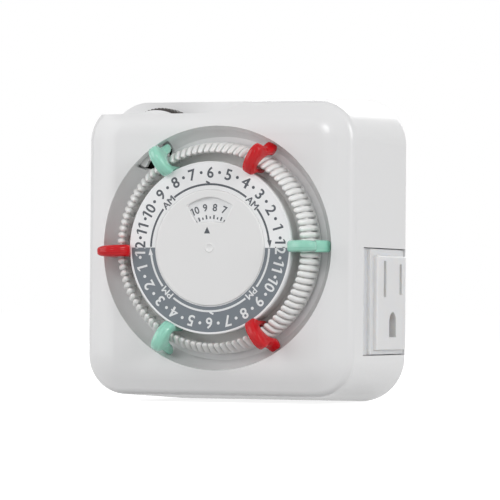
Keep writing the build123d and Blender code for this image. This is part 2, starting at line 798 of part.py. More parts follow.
# ---- manual override: knurled wheel, axle, star wheel in the well's wall, and cam ----
with BuildPart() as override_wheel:
    with BuildSketch(ahead(override_rear)):
        with Locations(override_point):
            Circle(override_radius)
            with PolarLocations(override_radius + knurl_radius / 3, knurl_count):
                Circle(knurl_radius, mode=Mode.SUBTRACT)
            Circle(override_axle_radius, mode=Mode.SUBTRACT)
    extrude(amount=override_thickness)
finish(override_wheel, "override_wheel")

star_rear = floor_front + star_floor_gap
with BuildPart() as override_axle:
    with BuildSketch(ahead(cam_front - cam_thickness)):
        with Locations(override_point):
            Circle(override_axle_radius)
    extrude(amount=star_rear + star_thickness - cam_front + cam_thickness)
finish(override_axle, "override_axle")

with BuildPart() as star_wheel:
    with BuildSketch(ahead(star_rear)):
        with Locations(override_point):
            Circle(star_radius * 0.62)
            for arm in range(star_arms):
                with Locations(Rot(0, 0, star_phase + 360 * arm / star_arms) * Pos(star_radius / 2, 0)):
                    RectangleRounded(star_radius, star_arm_width, star_arm_corner)
            Circle(override_axle_radius, mode=Mode.SUBTRACT)
    extrude(amount=star_thickness)
finish(star_wheel, "star_wheel")

with BuildPart() as switch_cam:
    with BuildSketch(ahead(cam_front - cam_thickness)) as cam_face:
        with Locations(override_point):
            Circle(cam_radius)
            with PolarLocations(cam_radius + 2 - cam_flat, star_arms, start_angle=45):
                Rectangle(4, 3.4, mode=Mode.SUBTRACT)
            Circle(override_axle_radius, mode=Mode.SUBTRACT)
    extrude(amount=cam_thickness)
finish(switch_cam, "switch_cam")

# ---- switch: lever over the cam, contact pair, and its base on the plate ----
with BuildPart() as lever_pin:
    with BuildSketch(ahead(lever_rear - lever_pin_reach)):
        with Locations(lever_pivot):
            Circle(lever_pin_radius)
    extrude(amount=plate_front - lever_rear + lever_pin_reach)
finish(lever_pin, "lever_pin")

with BuildPart() as switch_lever:
    with BuildSketch(ahead(lever_rear)):
        with Locations(((lever_left + lever_right) / 2, (lever_bottom + lever_top) / 2)):
            Rectangle(lever_right - lever_left, lever_top - lever_bottom)
        with Locations(lever_pivot):
            Circle(lever_hub_radius)
            Circle(lever_pin_radius + running_gap, mode=Mode.SUBTRACT)
    extrude(amount=lever_thickness)
finish(switch_lever, "switch_lever")

contact_middle = lever_rear + lever_thickness / 2
upright = Plane(origin=(rivet_x, -contact_middle, lever_top), x_dir=(1, 0, 0), z_dir=(0, 0, 1))
with BuildPart() as moving_contact:
    with BuildSketch(upright):
        Circle(rivet_radius)
    extrude(amount=rivet_height)
finish(moving_contact, "moving_contact")

strip_bottom = lever_top + 2 * rivet_height + contact_gap
with BuildPart() as fixed_contact:
    with BuildSketch(upright.offset(rivet_height + contact_gap)):
        Circle(rivet_radius)
    extrude(amount=rivet_height)
    with BuildSketch(ahead(lever_rear)):
        with Locations((switch_base_right, strip_bottom)):
            Rectangle(switch_base_right - rivet_x + rivet_radius, strip_thickness,
                      align=(Align.MAX, Align.MIN))
    extrude(amount=lever_thickness)
finish(fixed_contact, "fixed_contact")

with BuildPart() as switch_base:
    with BuildSketch(ahead(switch_base_rear)):
        with Locations((switch_base_left, switch_base_bottom)):
            Rectangle(switch_base_right - switch_base_left, switch_base_top - switch_base_bottom,
                      align=(Align.MIN, Align.MIN))
        with Locations((switch_column_left, switch_base_bottom)):
            Rectangle(switch_base_right - switch_column_left, strip_bottom - switch_base_bottom,
                      align=(Align.MIN, Align.MIN))
    extrude(amount=plate_rear - switch_base_rear)
finish(switch_base, "switch_base")

# ---- side receptacle: face, contact block and three contacts ----
neutral_forward = receptacle_centre + slot_spacing / 2
line_forward = receptacle_centre - slot_spacing / 2
ground_height = receptacle_height - ground_drop


def side_plane(x):
    """Plane facing right at that x, seen as the receptacle is used: local x is backwards."""
    return Plane(origin=(x, 0, 0), x_dir=(0, 1, 0), z_dir=(1, 0, 0))


def side_face(x, rear, front, bottom, top):
    with BuildSketch(side_plane(x)) as outline:
        with Locations((-(rear + front) / 2, (bottom + top) / 2)):
            Rectangle(front - rear, top - bottom)
    return outline.sketch


with BuildPart() as receptacle_face:
    extrude(side_face(insert_back_x, pocket_rear + fit_gap, pocket_front - fit_gap,
                      pocket_bottom + fit_gap, pocket_top - fit_gap),
            amount=pocket_floor_x - insert_back_x)
    extrude(side_face(pocket_floor_x, pocket_rear + fit_gap, step_front,
                      pocket_bottom + 2 * fit_gap, pocket_top - 2 * fit_gap),
            amount=step_x - pocket_floor_x)
    extrude(side_face(step_x, block_rear, block_front, block_bottom, block_top),
            amount=block_x - step_x)
    outer_edges = receptacle_face.faces().sort_by(Axis.X)[-1].edges()
    fillet(outer_edges, 0.4)
    for forward, height in ((neutral_forward, neutral_slot_height), (line_forward, line_slot_height)):
        slot = side_face(insert_back_x, forward - slot_width / 2, forward + slot_width / 2,
                         receptacle_height - height / 2, receptacle_height + height / 2)
        extrude(slot, amount=block_x - insert_back_x, mode=Mode.SUBTRACT)
    with BuildSketch(side_plane(insert_back_x)):
        half = ground_hole_width / 2
        foot = ground_height - ground_hole_height / 2
        spring = ground_height + ground_hole_height / 2 - half
        with BuildLine():
            Polyline((-receptacle_centre - half, spring), (-receptacle_centre - half, foot),
                     (-receptacle_centre + half, foot), (-receptacle_centre + half, spring))
            ThreePointArc((-receptacle_centre + half, spring), (-receptacle_centre, spring + half),
                          (-receptacle_centre - half, spring))
        make_face()
    extrude(amount=block_x - insert_back_x, mode=Mode.SUBTRACT)
finish(receptacle_face, "receptacle_face")

cells = {
    "neutral": (neutral_forward, receptacle_height, neutral_slot_height / 2 + cell_wall, clip_gap),
    "line": (line_forward, receptacle_height, line_slot_height / 2 + cell_wall, clip_gap),
    "ground": (receptacle_centre, ground_height, ground_hole_height / 2 + cell_wall / 2, ground_clip_gap),
}
with BuildPart() as contact_block:
    extrude(side_face(contact_block_back, cover_thickness, block_front,
                      block_bottom - cell_wall, block_top + cell_wall / 2),
            amount=contact_block_front - contact_block_back)
    for forward, height, half_height, gap in cells.values():
        reach = gap + clip_leaf + cell_side
        extrude(side_face(contact_cell_floor, forward - reach, forward + reach,
                          height - half_height, height + half_height),
                amount=contact_block_front - contact_cell_floor, mode=Mode.SUBTRACT)
        extrude(side_face(contact_block_back, forward - tail_half - fit_gap, forward + tail_half + fit_gap,
                          height - tail_height / 2 - fit_gap, height + tail_height / 2 + fit_gap),
                amount=contact_cell_floor - contact_block_back, mode=Mode.SUBTRACT)
finish(contact_block, "contact_block")

for name, (forward, height, half_height, gap) in cells.items():
    low, high = height - half_height + clip_side_gap, height + half_height - clip_side_gap
    with BuildPart() as clip:
        extrude(side_face(contact_cell_floor, forward - gap - clip_leaf, forward + gap + clip_leaf,
                          low, high), amount=clip_leaf)
        for side in (-1, 1):
            leaf = sorted((forward + side * gap, forward + side * (gap + clip_leaf)))
            extrude(side_face(contact_cell_floor, *leaf, low, high), amount=clip_length)
        extrude(side_face(strap_end_x, forward - tail_half, forward + tail_half,
                          height - tail_height / 2, height + tail_height / 2),
                amount=contact_cell_floor - strap_end_x)
    finish(clip, f"{name}_contact")

# ---- plug blades through the rear cover ----
for name, side, width in (("neutral_blade", -1, neutral_blade_width), ("line_blade", 1, line_blade_width)):
    with BuildPart() as blade:
        with BuildSketch(ahead(-blade_length)):
            with Locations((side * blade_spacing / 2, plug_height)):
                Rectangle(blade_thickness, width)
        extrude(amount=blade_length + cover_thickness)
        tip_edges = blade.faces().sort_by(Axis.Y)[-1].edges().filter_by(Axis.Z)
        chamfer(tip_edges, 0.5)
        with BuildSketch(Plane.YZ.offset(side * blade_spacing / 2)):
            with Locations((blade_hole_reach, plug_height)):
                Circle(blade_hole_radius)
        extrude(amount=blade_thickness, both=True, mode=Mode.SUBTRACT)
        with BuildSketch(ahead(cover_thickness)):
            with Locations((side * blade_spacing / 2, plug_height)):
                Rectangle(blade_thickness, width + 2 * tab_extra)
        extrude(amount=blade_tab)
    finish(blade, name)

with BuildPart() as ground_pin:
    with BuildSketch(ahead(-ground_pin_length)):
        with Locations((0, plug_height - ground_drop)):
            Circle(ground_pin_radius)
    extrude(amount=ground_pin_length + cover_thickness)
    fillet(ground_pin.faces().sort_by(Axis.Y)[-1].edges(), 1.9)
    with BuildSketch(ahead(0)):
        with Locations((0, plug_height - ground_drop)):
            Circle(pin_shoulder_radius)
    extrude(amount=cover_thickness)
    with BuildSketch(ahead(0)):
        with Locations((0, plug_height - ground_drop)):
            Circle(pin_shoulder_radius)
    extrude(amount=-pin_shoulder_taper,
            taper=degrees(atan((pin_shoulder_radius - ground_pin_radius) / pin_shoulder_taper)))
    with BuildSketch(ahead(cover_thickness)):
        with Locations((0, plug_height - ground_drop)):
            Circle(pin_flange_radius)
    extrude(amount=pin_flange)
finish(ground_pin, "ground_pin")

# ---- straps: flat copper runs, each folded from one strip ----
tab_end = cover_thickness + blade_tab
half_strap = strap_width / 2


def flat_run(forward, x_low, x_high, z_low, z_high):
    """Outline of a strap's flat run, seen as the dial is read."""
    with BuildSketch(ahead(forward)) as outline:
        with Locations(((x_low + x_high) / 2, (z_low + z_high) / 2)):
            Rectangle(x_high - x_low, z_high - z_low)
    return outline.sketch


riser_x = strap_end_x - strap_thickness
blade_x = blade_spacing / 2
with BuildPart() as neutral_strap:
    extrude(flat_run(tab_end, -blade_x - half_strap, -blade_x + half_strap,
                     neutral_strap_height - half_strap, plug_height + neutral_blade_width / 2),
            amount=strap_thickness)
    extrude(flat_run(tab_end, -blade_x - half_strap, strap_end_x,
                     neutral_strap_height - half_strap, neutral_strap_height + half_strap),
            amount=strap_thickness)
    extrude(flat_run(tab_end, strap_end_x - strap_width, strap_end_x,
                     receptacle_height - tail_height / 2, neutral_strap_height + half_strap),
            amount=strap_thickness)
    extrude(flat_run(tab_end, riser_x, strap_end_x,
                     receptacle_height - tail_height / 2, receptacle_height + tail_height / 2),
            amount=neutral_forward + tail_half - tab_end)
finish(neutral_strap, "neutral_strap")

pin_end = cover_thickness + pin_flange
with BuildPart() as ground_strap:
    extrude(flat_run(pin_end, -half_strap, strap_end_x,
                     ground_strap_height - half_strap, ground_strap_height + half_strap),
            amount=strap_thickness)
    extrude(flat_run(pin_end, strap_end_x - strap_width, strap_end_x,
                     ground_height - tail_height / 2, ground_strap_height + half_strap),
            amount=strap_thickness)
    extrude(flat_run(pin_end, riser_x, strap_end_x,
                     ground_height - tail_height / 2, ground_height + tail_height / 2),
            amount=receptacle_centre + tail_half - pin_end)
finish(ground_strap, "ground_strap")

load_x = switch_base_right
with BuildPart() as load_strap:
    extrude(flat_run(lever_rear, load_x, load_x + strap_thickness,
                     load_strap_height - half_strap, strip_bottom + strip_thickness),
            amount=lever_thickness)
    extrude(flat_run(line_forward - tail_half, load_x, load_x + strap_thickness,
                     load_strap_height - half_strap, load_strap_height + half_strap),
            amount=lever_rear + lever_thickness - line_forward + tail_half)
    extrude(flat_run(line_forward - tail_half, strap_end_x - strap_width, load_x + strap_thickness,
                     load_strap_height - half_strap, load_strap_height + half_strap),
            amount=2 * tail_half)
    extrude(flat_run(line_forward - tail_half, strap_end_x - strap_width, strap_end_x,
                     receptacle_height - tail_height / 2, load_strap_height + half_strap),
            amount=2 * tail_half)
finish(load_strap, "load_strap")

with BuildPart() as line_strap:
    extrude(flat_run(tab_end, blade_x - half_strap, blade_x + half_strap,
                     plug_height - line_blade_width / 2, lever_pivot[1] + half_strap),
            amount=strap_thickness)
    extrude(flat_run(tab_end, lever_pivot[0] - half_strap, blade_x + half_strap,
                     lever_pivot[1] - half_strap, lever_pivot[1] + half_strap),
            amount=strap_thickness)
    extrude(flat_run(tab_end, lever_pivot[0] - half_strap, lever_pivot[0] + half_strap,
                     lever_pivot[1] - half_strap, lever_pivot[1] + half_strap),
            amount=lever_rear - lever_pin_reach - tab_end)
finish(line_strap, "line_strap")

# ---- detent leaf: a spring strip that steadies the cam ----
leaf_x = override_point[0] + cam_radius + leaf_gap
leaf_bottom, leaf_foot = override_point[1] - 9.5, 3.0
cam_rear = cam_front - cam_thickness
with BuildPart() as detent_leaf:
    extrude(flat_run(cam_rear + 0.2, leaf_x, leaf_x + leaf_thickness,
                     leaf_bottom, override_point[1] + cam_radius - 0.9), amount=cam_thickness - 0.4)
    extrude(flat_run(cam_rear + 0.2, leaf_x, leaf_x + leaf_thickness,
                     leaf_bottom, leaf_bottom + leaf_foot), amount=plate_rear - cam_rear - 0.2)
    extrude(flat_run(plate_rear - leaf_thickness, leaf_x, leaf_x + leaf_foot + 1,
                     leaf_bottom, leaf_bottom + leaf_foot), amount=leaf_thickness)
finish(detent_leaf, "detent_leaf")


# ---- motor leads: from the can's back to the sides of the blade tabs ----
def bend_radii(points):
    """Bend radii that take up 0.45 of the shorter run beside each corner."""
    radii = []
    for before, corner, after in zip(points, points[1:], points[2:]):
        arriving, leaving = Vector(*corner) - Vector(*before), Vector(*after) - Vector(*corner)
        shorter = min(arriving.length, leaving.length)
        radii.append(0.45 * shorter / tan(radians(arriving.get_angle(leaving)) / 2))
    return radii


motor_x, motor_z = motor_point
tab_side = blade_x - blade_thickness / 2
tab_far_side = blade_x + blade_thickness / 2
lead_forward = tab_end - 2.6
lead_routes = {
    "neutral_lead": [(motor_x + 6, -motor_rear, motor_z + 9), (motor_x + 6, 3.4 - motor_rear, motor_z + 9),
                     (motor_x + 7.5, -lead_forward - 0.4, plug_height - 2.5),
                     (-tab_far_side, -lead_forward, plug_height)],
    "line_lead": [(motor_x + 9, -motor_rear, motor_z + 6), (motor_x + 9, 4.6 - motor_rear, motor_z + 6),
                  (-2.5, 0.6 - lead_forward, plug_height - 8.5), (3.0, 0.6 - lead_forward, plug_height - 1.5),
                  (tab_side, 0.6 - lead_forward, plug_height)],
}
for name, points in lead_routes.items():
    with BuildPart() as lead:
        with BuildLine() as route:
            FilletPolyline(*points, radius=bend_radii(points))
        with BuildSketch(Plane(origin=points[0], z_dir=(0, 1, 0))):
            Circle(lead_radius)
        sweep()
    finish(lead, name)
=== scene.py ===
import bpy
import bmesh
import json
from math import atan2, cos, degrees, pi, radians, sin
from mathutils import Matrix, Vector

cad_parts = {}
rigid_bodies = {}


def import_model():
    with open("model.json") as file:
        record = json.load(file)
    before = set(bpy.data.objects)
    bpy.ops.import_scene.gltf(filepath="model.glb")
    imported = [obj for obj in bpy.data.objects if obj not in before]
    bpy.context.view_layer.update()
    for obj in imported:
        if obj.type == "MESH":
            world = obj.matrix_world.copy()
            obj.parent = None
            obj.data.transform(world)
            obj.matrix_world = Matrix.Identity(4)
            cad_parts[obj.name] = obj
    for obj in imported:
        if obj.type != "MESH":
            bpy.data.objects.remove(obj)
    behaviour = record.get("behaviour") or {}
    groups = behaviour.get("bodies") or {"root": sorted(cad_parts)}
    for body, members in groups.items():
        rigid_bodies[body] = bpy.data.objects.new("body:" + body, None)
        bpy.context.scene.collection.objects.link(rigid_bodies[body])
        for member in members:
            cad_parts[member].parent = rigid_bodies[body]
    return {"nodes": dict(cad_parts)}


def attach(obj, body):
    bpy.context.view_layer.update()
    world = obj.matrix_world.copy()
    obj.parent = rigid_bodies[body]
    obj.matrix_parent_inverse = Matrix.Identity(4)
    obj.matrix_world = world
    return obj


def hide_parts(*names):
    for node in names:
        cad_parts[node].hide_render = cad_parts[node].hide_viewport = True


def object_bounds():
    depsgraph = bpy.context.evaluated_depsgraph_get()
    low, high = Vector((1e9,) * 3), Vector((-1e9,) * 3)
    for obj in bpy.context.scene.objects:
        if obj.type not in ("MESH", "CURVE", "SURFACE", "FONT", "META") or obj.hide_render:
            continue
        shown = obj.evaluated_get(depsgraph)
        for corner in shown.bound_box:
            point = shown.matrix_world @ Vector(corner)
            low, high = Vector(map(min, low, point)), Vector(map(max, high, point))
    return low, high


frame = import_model()
cad_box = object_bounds()
nodes = frame["nodes"]
scene = bpy.context.scene
mm = 0.001


# Studio camera: level with the timer, a metre off and twenty degrees to its right,
# so that the front, the right side and a thin strip of the top are seen.
camera_data = bpy.data.cameras.new("studio_camera")
camera_data.lens = 263.55
camera_data.sensor_width = 36.0
camera_data.clip_start, camera_data.clip_end = 0.05, 30.0
camera = bpy.data.objects.new("studio_camera", camera_data)
scene.collection.objects.link(camera)
camera.matrix_world = Matrix((
    (0.93294, -0.00233, 0.36003, 348.85 * mm),
    (0.35993, -0.01776, -0.93281, -922.59 * mm),
    (0.00857, 0.99985, -0.01573, -15.32 * mm),
    (0, 0, 0, 1)))
scene.camera = camera


# White room: the floor and the air around it look plain white to the camera and
# in reflections, and the floor keeps only the soft shadow under the case.
def seen_directly(tree):
    """1 for a ray from the camera, a reflection or a transparent piece, 0 for one that lights the object."""
    path = tree.nodes.new("ShaderNodeLightPath")
    either = tree.nodes.new("ShaderNodeMath")
    either.operation = "MAXIMUM"
    tree.links.new(path.outputs["Is Camera Ray"], either.inputs[0])
    tree.links.new(path.outputs["Is Glossy Ray"], either.inputs[1])
    any_of_them = tree.nodes.new("ShaderNodeMath")
    any_of_them.operation = "MAXIMUM"
    tree.links.new(either.outputs[0], any_of_them.inputs[0])
    tree.links.new(path.outputs["Is Transmission Ray"], any_of_them.inputs[1])
    return any_of_them.outputs[0]


floor_radius = 12.0
floor_gap = 0.02
floor_shape = bmesh.new()
bmesh.ops.create_circle(floor_shape, cap_ends=True, radius=floor_radius, segments=96,
                        matrix=Matrix.Translation((0, 0, cad_box[0][2] - floor_gap * mm)))
floor_data = bpy.data.meshes.new("floor")
floor_shape.to_mesh(floor_data)
floor_shape.free()
floor = bpy.data.objects.new("floor", floor_data)
scene.collection.objects.link(floor)

white_floor = bpy.data.materials.new("white_floor")
white_floor.use_nodes = True
tree = white_floor.node_tree
tree.nodes.clear()
floor_out = tree.nodes.new("ShaderNodeOutputMaterial")
floor_choice = tree.nodes.new("ShaderNodeMixShader")
floor_bounce = tree.nodes.new("ShaderNodeBsdfDiffuse")
floor_bounce.inputs["Color"].default_value = (0.55, 0.55, 0.55, 1)
floor_look = tree.nodes.new("ShaderNodeAddShader")
floor_shade = tree.nodes.new("ShaderNodeBsdfDiffuse")
floor_shade.inputs["Color"].default_value = (0.45, 0.45, 0.45, 1)
floor_glow = tree.nodes.new("ShaderNodeEmission")
floor_glow.inputs["Strength"].default_value = 0.86
tree.links.new(floor_shade.outputs[0], floor_look.inputs[0])
tree.links.new(floor_glow.outputs[0], floor_look.inputs[1])
tree.links.new(seen_directly(tree), floor_choice.inputs[0])
tree.links.new(floor_bounce.outputs[0], floor_choice.inputs[1])
tree.links.new(floor_look.outputs[0], floor_choice.inputs[2])
tree.links.new(floor_choice.outputs[0], floor_out.inputs["Surface"])
floor_data.materials.append(white_floor)

studio_air = bpy.data.worlds.new("studio_air")
scene.world = studio_air
studio_air.use_nodes = True
tree = studio_air.node_tree
tree.nodes.clear()
air_out = tree.nodes.new("ShaderNodeOutputWorld")
air_choice = tree.nodes.new("ShaderNodeMixShader")
air_light = tree.nodes.new("ShaderNodeBackground")
air_light.inputs["Color"].default_value = (1, 1, 1, 1)
air_light.inputs["Strength"].default_value = 0.34
air_look = tree.nodes.new("ShaderNodeBackground")
air_look.inputs["Color"].default_value = (1, 1, 1, 1)
air_look.inputs["Strength"].default_value = 1.0
tree.links.new(seen_directly(tree), air_choice.inputs[0])
tree.links.new(air_light.outputs[0], air_choice.inputs[1])
tree.links.new(air_look.outputs[0], air_choice.inputs[2])
tree.links.new(air_choice.outputs[0], air_out.inputs["Surface"])


# Lamps: a wide soft box on the left as the main light, a second on the right that
# keeps the side as pale as the front, and one each in front and behind. All face the dial.
for lamp_name, place, lamp_size, watts in (
    ("left_soft_box", (-1.12, -0.95, 0.40), 1.2, 10.5),
    ("right_soft_box", (1.25, -0.45, 0.50), 0.7, 9.0),
    ("front_fill", (0.02, -1.55, 0.60), 0.32, 3.2),
    ("back_soft_box", (-0.30, 1.30, 0.70), 0.9, 7.0),
):
    lamp_data = bpy.data.lights.new(lamp_name, "AREA")
    lamp_data.size = lamp_size
    lamp_data.energy = watts
    lamp = bpy.data.objects.new(lamp_name, lamp_data)
    scene.collection.objects.link(lamp)
    lamp.matrix_world = (Matrix.Translation(place)
                         @ Vector(place).to_track_quat("Z", "Y").to_matrix().to_4x4())


# Front housing: one injection moulding in white ABS with the dial well, the scoop
# and the receptacle opening. Its skin has the faint unevenness of polished moulding.
def moulded_skin():
    """Colour, roughness and height of a moulded plastic surface, built once for all plastics."""
    group = bpy.data.node_groups.new("moulded_skin", "ShaderNodeTree")
    for socket, kind, start in (("Plastic", "NodeSocketColor", (0.8, 0.8, 0.8, 1)),
                                ("Shade", "NodeSocketColor", (0.7, 0.7, 0.7, 1)),
                                ("Gloss", "NodeSocketFloat", 0.3), ("Gloss change", "NodeSocketFloat", 0.06),
                                ("Flow scale", "NodeSocketFloat", 40.0), ("Grain scale", "NodeSocketFloat", 1800.0)):
        group.interface.new_socket(socket, in_out="INPUT", socket_type=kind).default_value = start
    for socket, kind in (("Color", "NodeSocketColor"), ("Roughness", "NodeSocketFloat"),
                         ("Height", "NodeSocketFloat")):
        group.interface.new_socket(socket, in_out="OUTPUT", socket_type=kind)
    into = group.nodes.new("NodeGroupInput")
    out = group.nodes.new("NodeGroupOutput")
    place = group.nodes.new("ShaderNodeTexCoord")
    flow = group.nodes.new("ShaderNodeTexNoise")
    flow.inputs["Detail"].default_value = 2.0
    grain = group.nodes.new("ShaderNodeTexNoise")
    grain.inputs["Detail"].default_value = 3.0
    mottle = group.nodes.new("ShaderNodeMix")
    mottle.data_type = "RGBA"
    spread = group.nodes.new("ShaderNodeMath")
    spread.operation = "SUBTRACT"
    spread.inputs[1].default_value = 0.5
    change = group.nodes.new("ShaderNodeMath")
    change.operation = "MULTIPLY"
    gloss = group.nodes.new("ShaderNodeMath")
    gloss.operation = "ADD"
    share = group.nodes.new("ShaderNodeMath")
    share.operation = "MULTIPLY"
    share.inputs[1].default_value = 0.35
    link = group.links.new
    for noise, scale in ((flow, "Flow scale"), (grain, "Grain scale")):
        link(place.outputs["Object"], noise.inputs["Vector"])
        link(into.outputs[scale], noise.inputs["Scale"])
    link(flow.outputs["Fac"], share.inputs[0])
    link(share.outputs[0], mottle.inputs["Factor"])
    link(into.outputs["Plastic"], mottle.inputs["A"])
    link(into.outputs["Shade"], mottle.inputs["B"])
    link(flow.outputs["Fac"], spread.inputs[0])
    link(spread.outputs[0], change.inputs[0])
    link(into.outputs["Gloss change"], change.inputs[1])
    link(change.outputs[0], gloss.inputs[0])
    link(into.outputs["Gloss"], gloss.inputs[1])
    link(mottle.outputs["Result"], out.inputs["Color"])
    link(gloss.outputs[0], out.inputs["Roughness"])
    link(grain.outputs["Fac"], out.inputs["Height"])
    return group


skin_group = moulded_skin()


def plastic(name, colour, shade, gloss, flow=40.0, grain=1800.0, depth=0.01, coat=0.0, inner_glow=0.0):
    """A moulded plastic finish: pale to shaded colour, gloss, and a fine grain of the given depth in mm."""
    finish = bpy.data.materials.new(name)
    finish.use_nodes = True
    tree = finish.node_tree
    surface = tree.nodes["Principled BSDF"]
    skin = tree.nodes.new("ShaderNodeGroup")
    skin.node_tree = skin_group
    skin.inputs["Plastic"].default_value = (*colour, 1)
    skin.inputs["Shade"].default_value = (*shade, 1)
    skin.inputs["Gloss"].default_value = gloss
    skin.inputs["Gloss change"].default_value = 0.06
    skin.inputs["Flow scale"].default_value = flow
    skin.inputs["Grain scale"].default_value = grain
    bump = tree.nodes.new("ShaderNodeBump")
    bump.inputs["Strength"].default_value = 0.35
    bump.inputs["Distance"].default_value = depth * mm
    tree.links.new(skin.outputs["Color"], surface.inputs["Base Color"])
    tree.links.new(skin.outputs["Roughness"], surface.inputs["Roughness"])
    tree.links.new(skin.outputs["Height"], bump.inputs["Height"])
    tree.links.new(bump.outputs["Normal"], surface.inputs["Normal"])
    surface.inputs["Coat Weight"].default_value = coat
    surface.inputs["Coat Roughness"].default_value = 0.12
    if inner_glow:
        surface.inputs["Subsurface Weight"].default_value = inner_glow
        surface.inputs["Subsurface Radius"].default_value = (1.0, 0.9, 0.8)
        surface.inputs["Subsurface Scale"].default_value = 0.6 * mm
    return finish


def dress(finish, *node_names):
    """Gives CAD nodes their finish."""
    for node_name in node_names:
        nodes[node_name].data.materials.clear()
        nodes[node_name].data.materials.append(finish)


case_white = plastic("case_white", (0.820, 0.820, 0.825), (0.800, 0.800, 0.805), 0.22, depth=0.004)
dress(case_white, "front_housing", "rear_cover")


# Scale disc: moulded in white with a fine raised rim, then printed. The night half
# is a blue-grey panel and the figures on it are left white.
def turned(outline, steps):
    """Solid of revolution about the dial axis, from an outline of (radius, forward) pairs in mm."""
    shape = bmesh.new()
    points = [shape.verts.new((radius * mm, -forward * mm, 0)) for radius, forward in outline]
    lines = [shape.edges.new(pair) for pair in zip(points, points[1:] + points[:1])
             if not (pair[0].co.x < 1e-9 and pair[1].co.x < 1e-9)]
    bmesh.ops.spin(shape, geom=points + lines, cent=(0, 0, 0), axis=(0, 1, 0), angle=2 * pi, steps=steps,
                   use_merge=True)
    bmesh.ops.remove_doubles(shape, verts=shape.verts, dist=0.0005 * mm)
    bmesh.ops.recalc_face_normals(shape, faces=shape.faces)
    return shape


def soften(shape, width, over):
    """Rounds every edge that is sharper than the given angle in degrees."""
    sharp = [edge for edge in shape.edges if len(edge.link_faces) == 2
             and edge.calc_face_angle(0) > radians(over)]
    bmesh.ops.bevel(shape, geom=sharp, offset=width * mm, offset_type="OFFSET", segments=2,
                    profile=0.5, affect="EDGES", clamp_overlap=True, material=-1)
    return shape


def piece_from(shape, name, body, finish, crisp=38.0):
    """Makes the object, smooth except over edges sharper than crisp degrees, and sets it on its body."""
    for face in shape.faces:
        face.smooth = True
    for edge in shape.edges:
        if len(edge.link_faces) == 2 and edge.calc_face_angle(0) > radians(crisp):
            edge.smooth = False
    data = bpy.data.meshes.new(name)
    shape.to_mesh(data)
    shape.free()
    data.materials.append(finish)
    piece = bpy.data.objects.new(name, data)
    scene.collection.objects.link(piece)
    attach(piece, body)
    return piece


disc_back, disc_face = 45.6, 47.6
disc_bore, disc_edge = 4.2, 22.27
rim_width, rim_height = 0.28, 0.06
recess, recess_edge = 46.9, 15.04
print_level = disc_face - rim_height
ink_height = 0.02

disc_white = plastic("disc_white", (0.900, 0.905, 0.915), (0.885, 0.890, 0.900), 0.34, depth=0.004)
disc_shape = turned([(disc_bore, disc_back), (disc_edge, disc_back), (disc_edge, disc_face),
                     (disc_edge - rim_width, disc_face), (disc_edge - rim_width - 0.05, print_level),
                     (recess_edge, print_level), (recess_edge, recess), (disc_bore, recess)], 192)
disc = piece_from(soften(disc_shape, 0.05, over=60.0), "printed_disc", "dial", disc_white)
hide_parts("scale_disc")


def ink(name, colour, gloss):
    """A print colour: a plastic finish with a finer grain, a little darker where it lies thick."""
    return plastic(name, colour, tuple(0.93 * part for part in colour), gloss, grain=2600.0, depth=0.002)


night_grey = ink("night_grey", (0.165, 0.190, 0.215), 0.42)
figure_grey = ink("figure_grey", (0.070, 0.080, 0.095), 0.45)
figure_white = ink("figure_white", (0.80, 0.81, 0.82), 0.42)


def arc_band(inner, outer, start, end, level, thickness, steps):
    """Flat ring sector about the dial axis, with its front face at the given level."""
    shape = bmesh.new()
    corners = [shape.verts.new((r * mm, -f * mm, 0)) for r, f in (
        (inner, level - thickness), (outer, level - thickness), (outer, level), (inner, level))]
    face = shape.faces.new(corners)
    bmesh.ops.rotate(shape, verts=shape.verts, cent=(0, 0, 0), matrix=Matrix.Rotation(-radians(start), 3, "Y"))
    bmesh.ops.spin(shape, geom=[face], cent=(0, 0, 0), axis=(0, -1, 0), angle=radians(end - start), steps=steps)
    bmesh.ops.recalc_face_normals(shape, faces=shape.faces)
    return shape


panel_inner, panel_outer = 15.2, 21.75
night_shape = arc_band(panel_inner, panel_outer, -180, 0, print_level + ink_height, ink_height, 96)
night = piece_from(night_shape, "night_panel", "dial", night_grey)


# Figures on the disc: twice twelve hours, read from outside, with a dot at each half
# hour, printed in grey on the day half and left white on the night half.
def dial_frame(radius, angle, level):
    """Placement of flat print: its top points away from the dial axis and its face forwards."""
    a = radians(angle)
    return Matrix(((sin(a), cos(a), 0, radius * cos(a) * mm), (0, 0, -1, -level * mm),
                   (-cos(a), sin(a), 0, radius * sin(a) * mm), (0, 0, 0, 1)))


def join_into(whole, part):
    """Adds a finished part to a larger shape."""
    flat = bpy.data.meshes.new("part")
    part.to_mesh(flat)
    part.free()
    whole.from_mesh(flat)
    bpy.data.meshes.remove(flat)


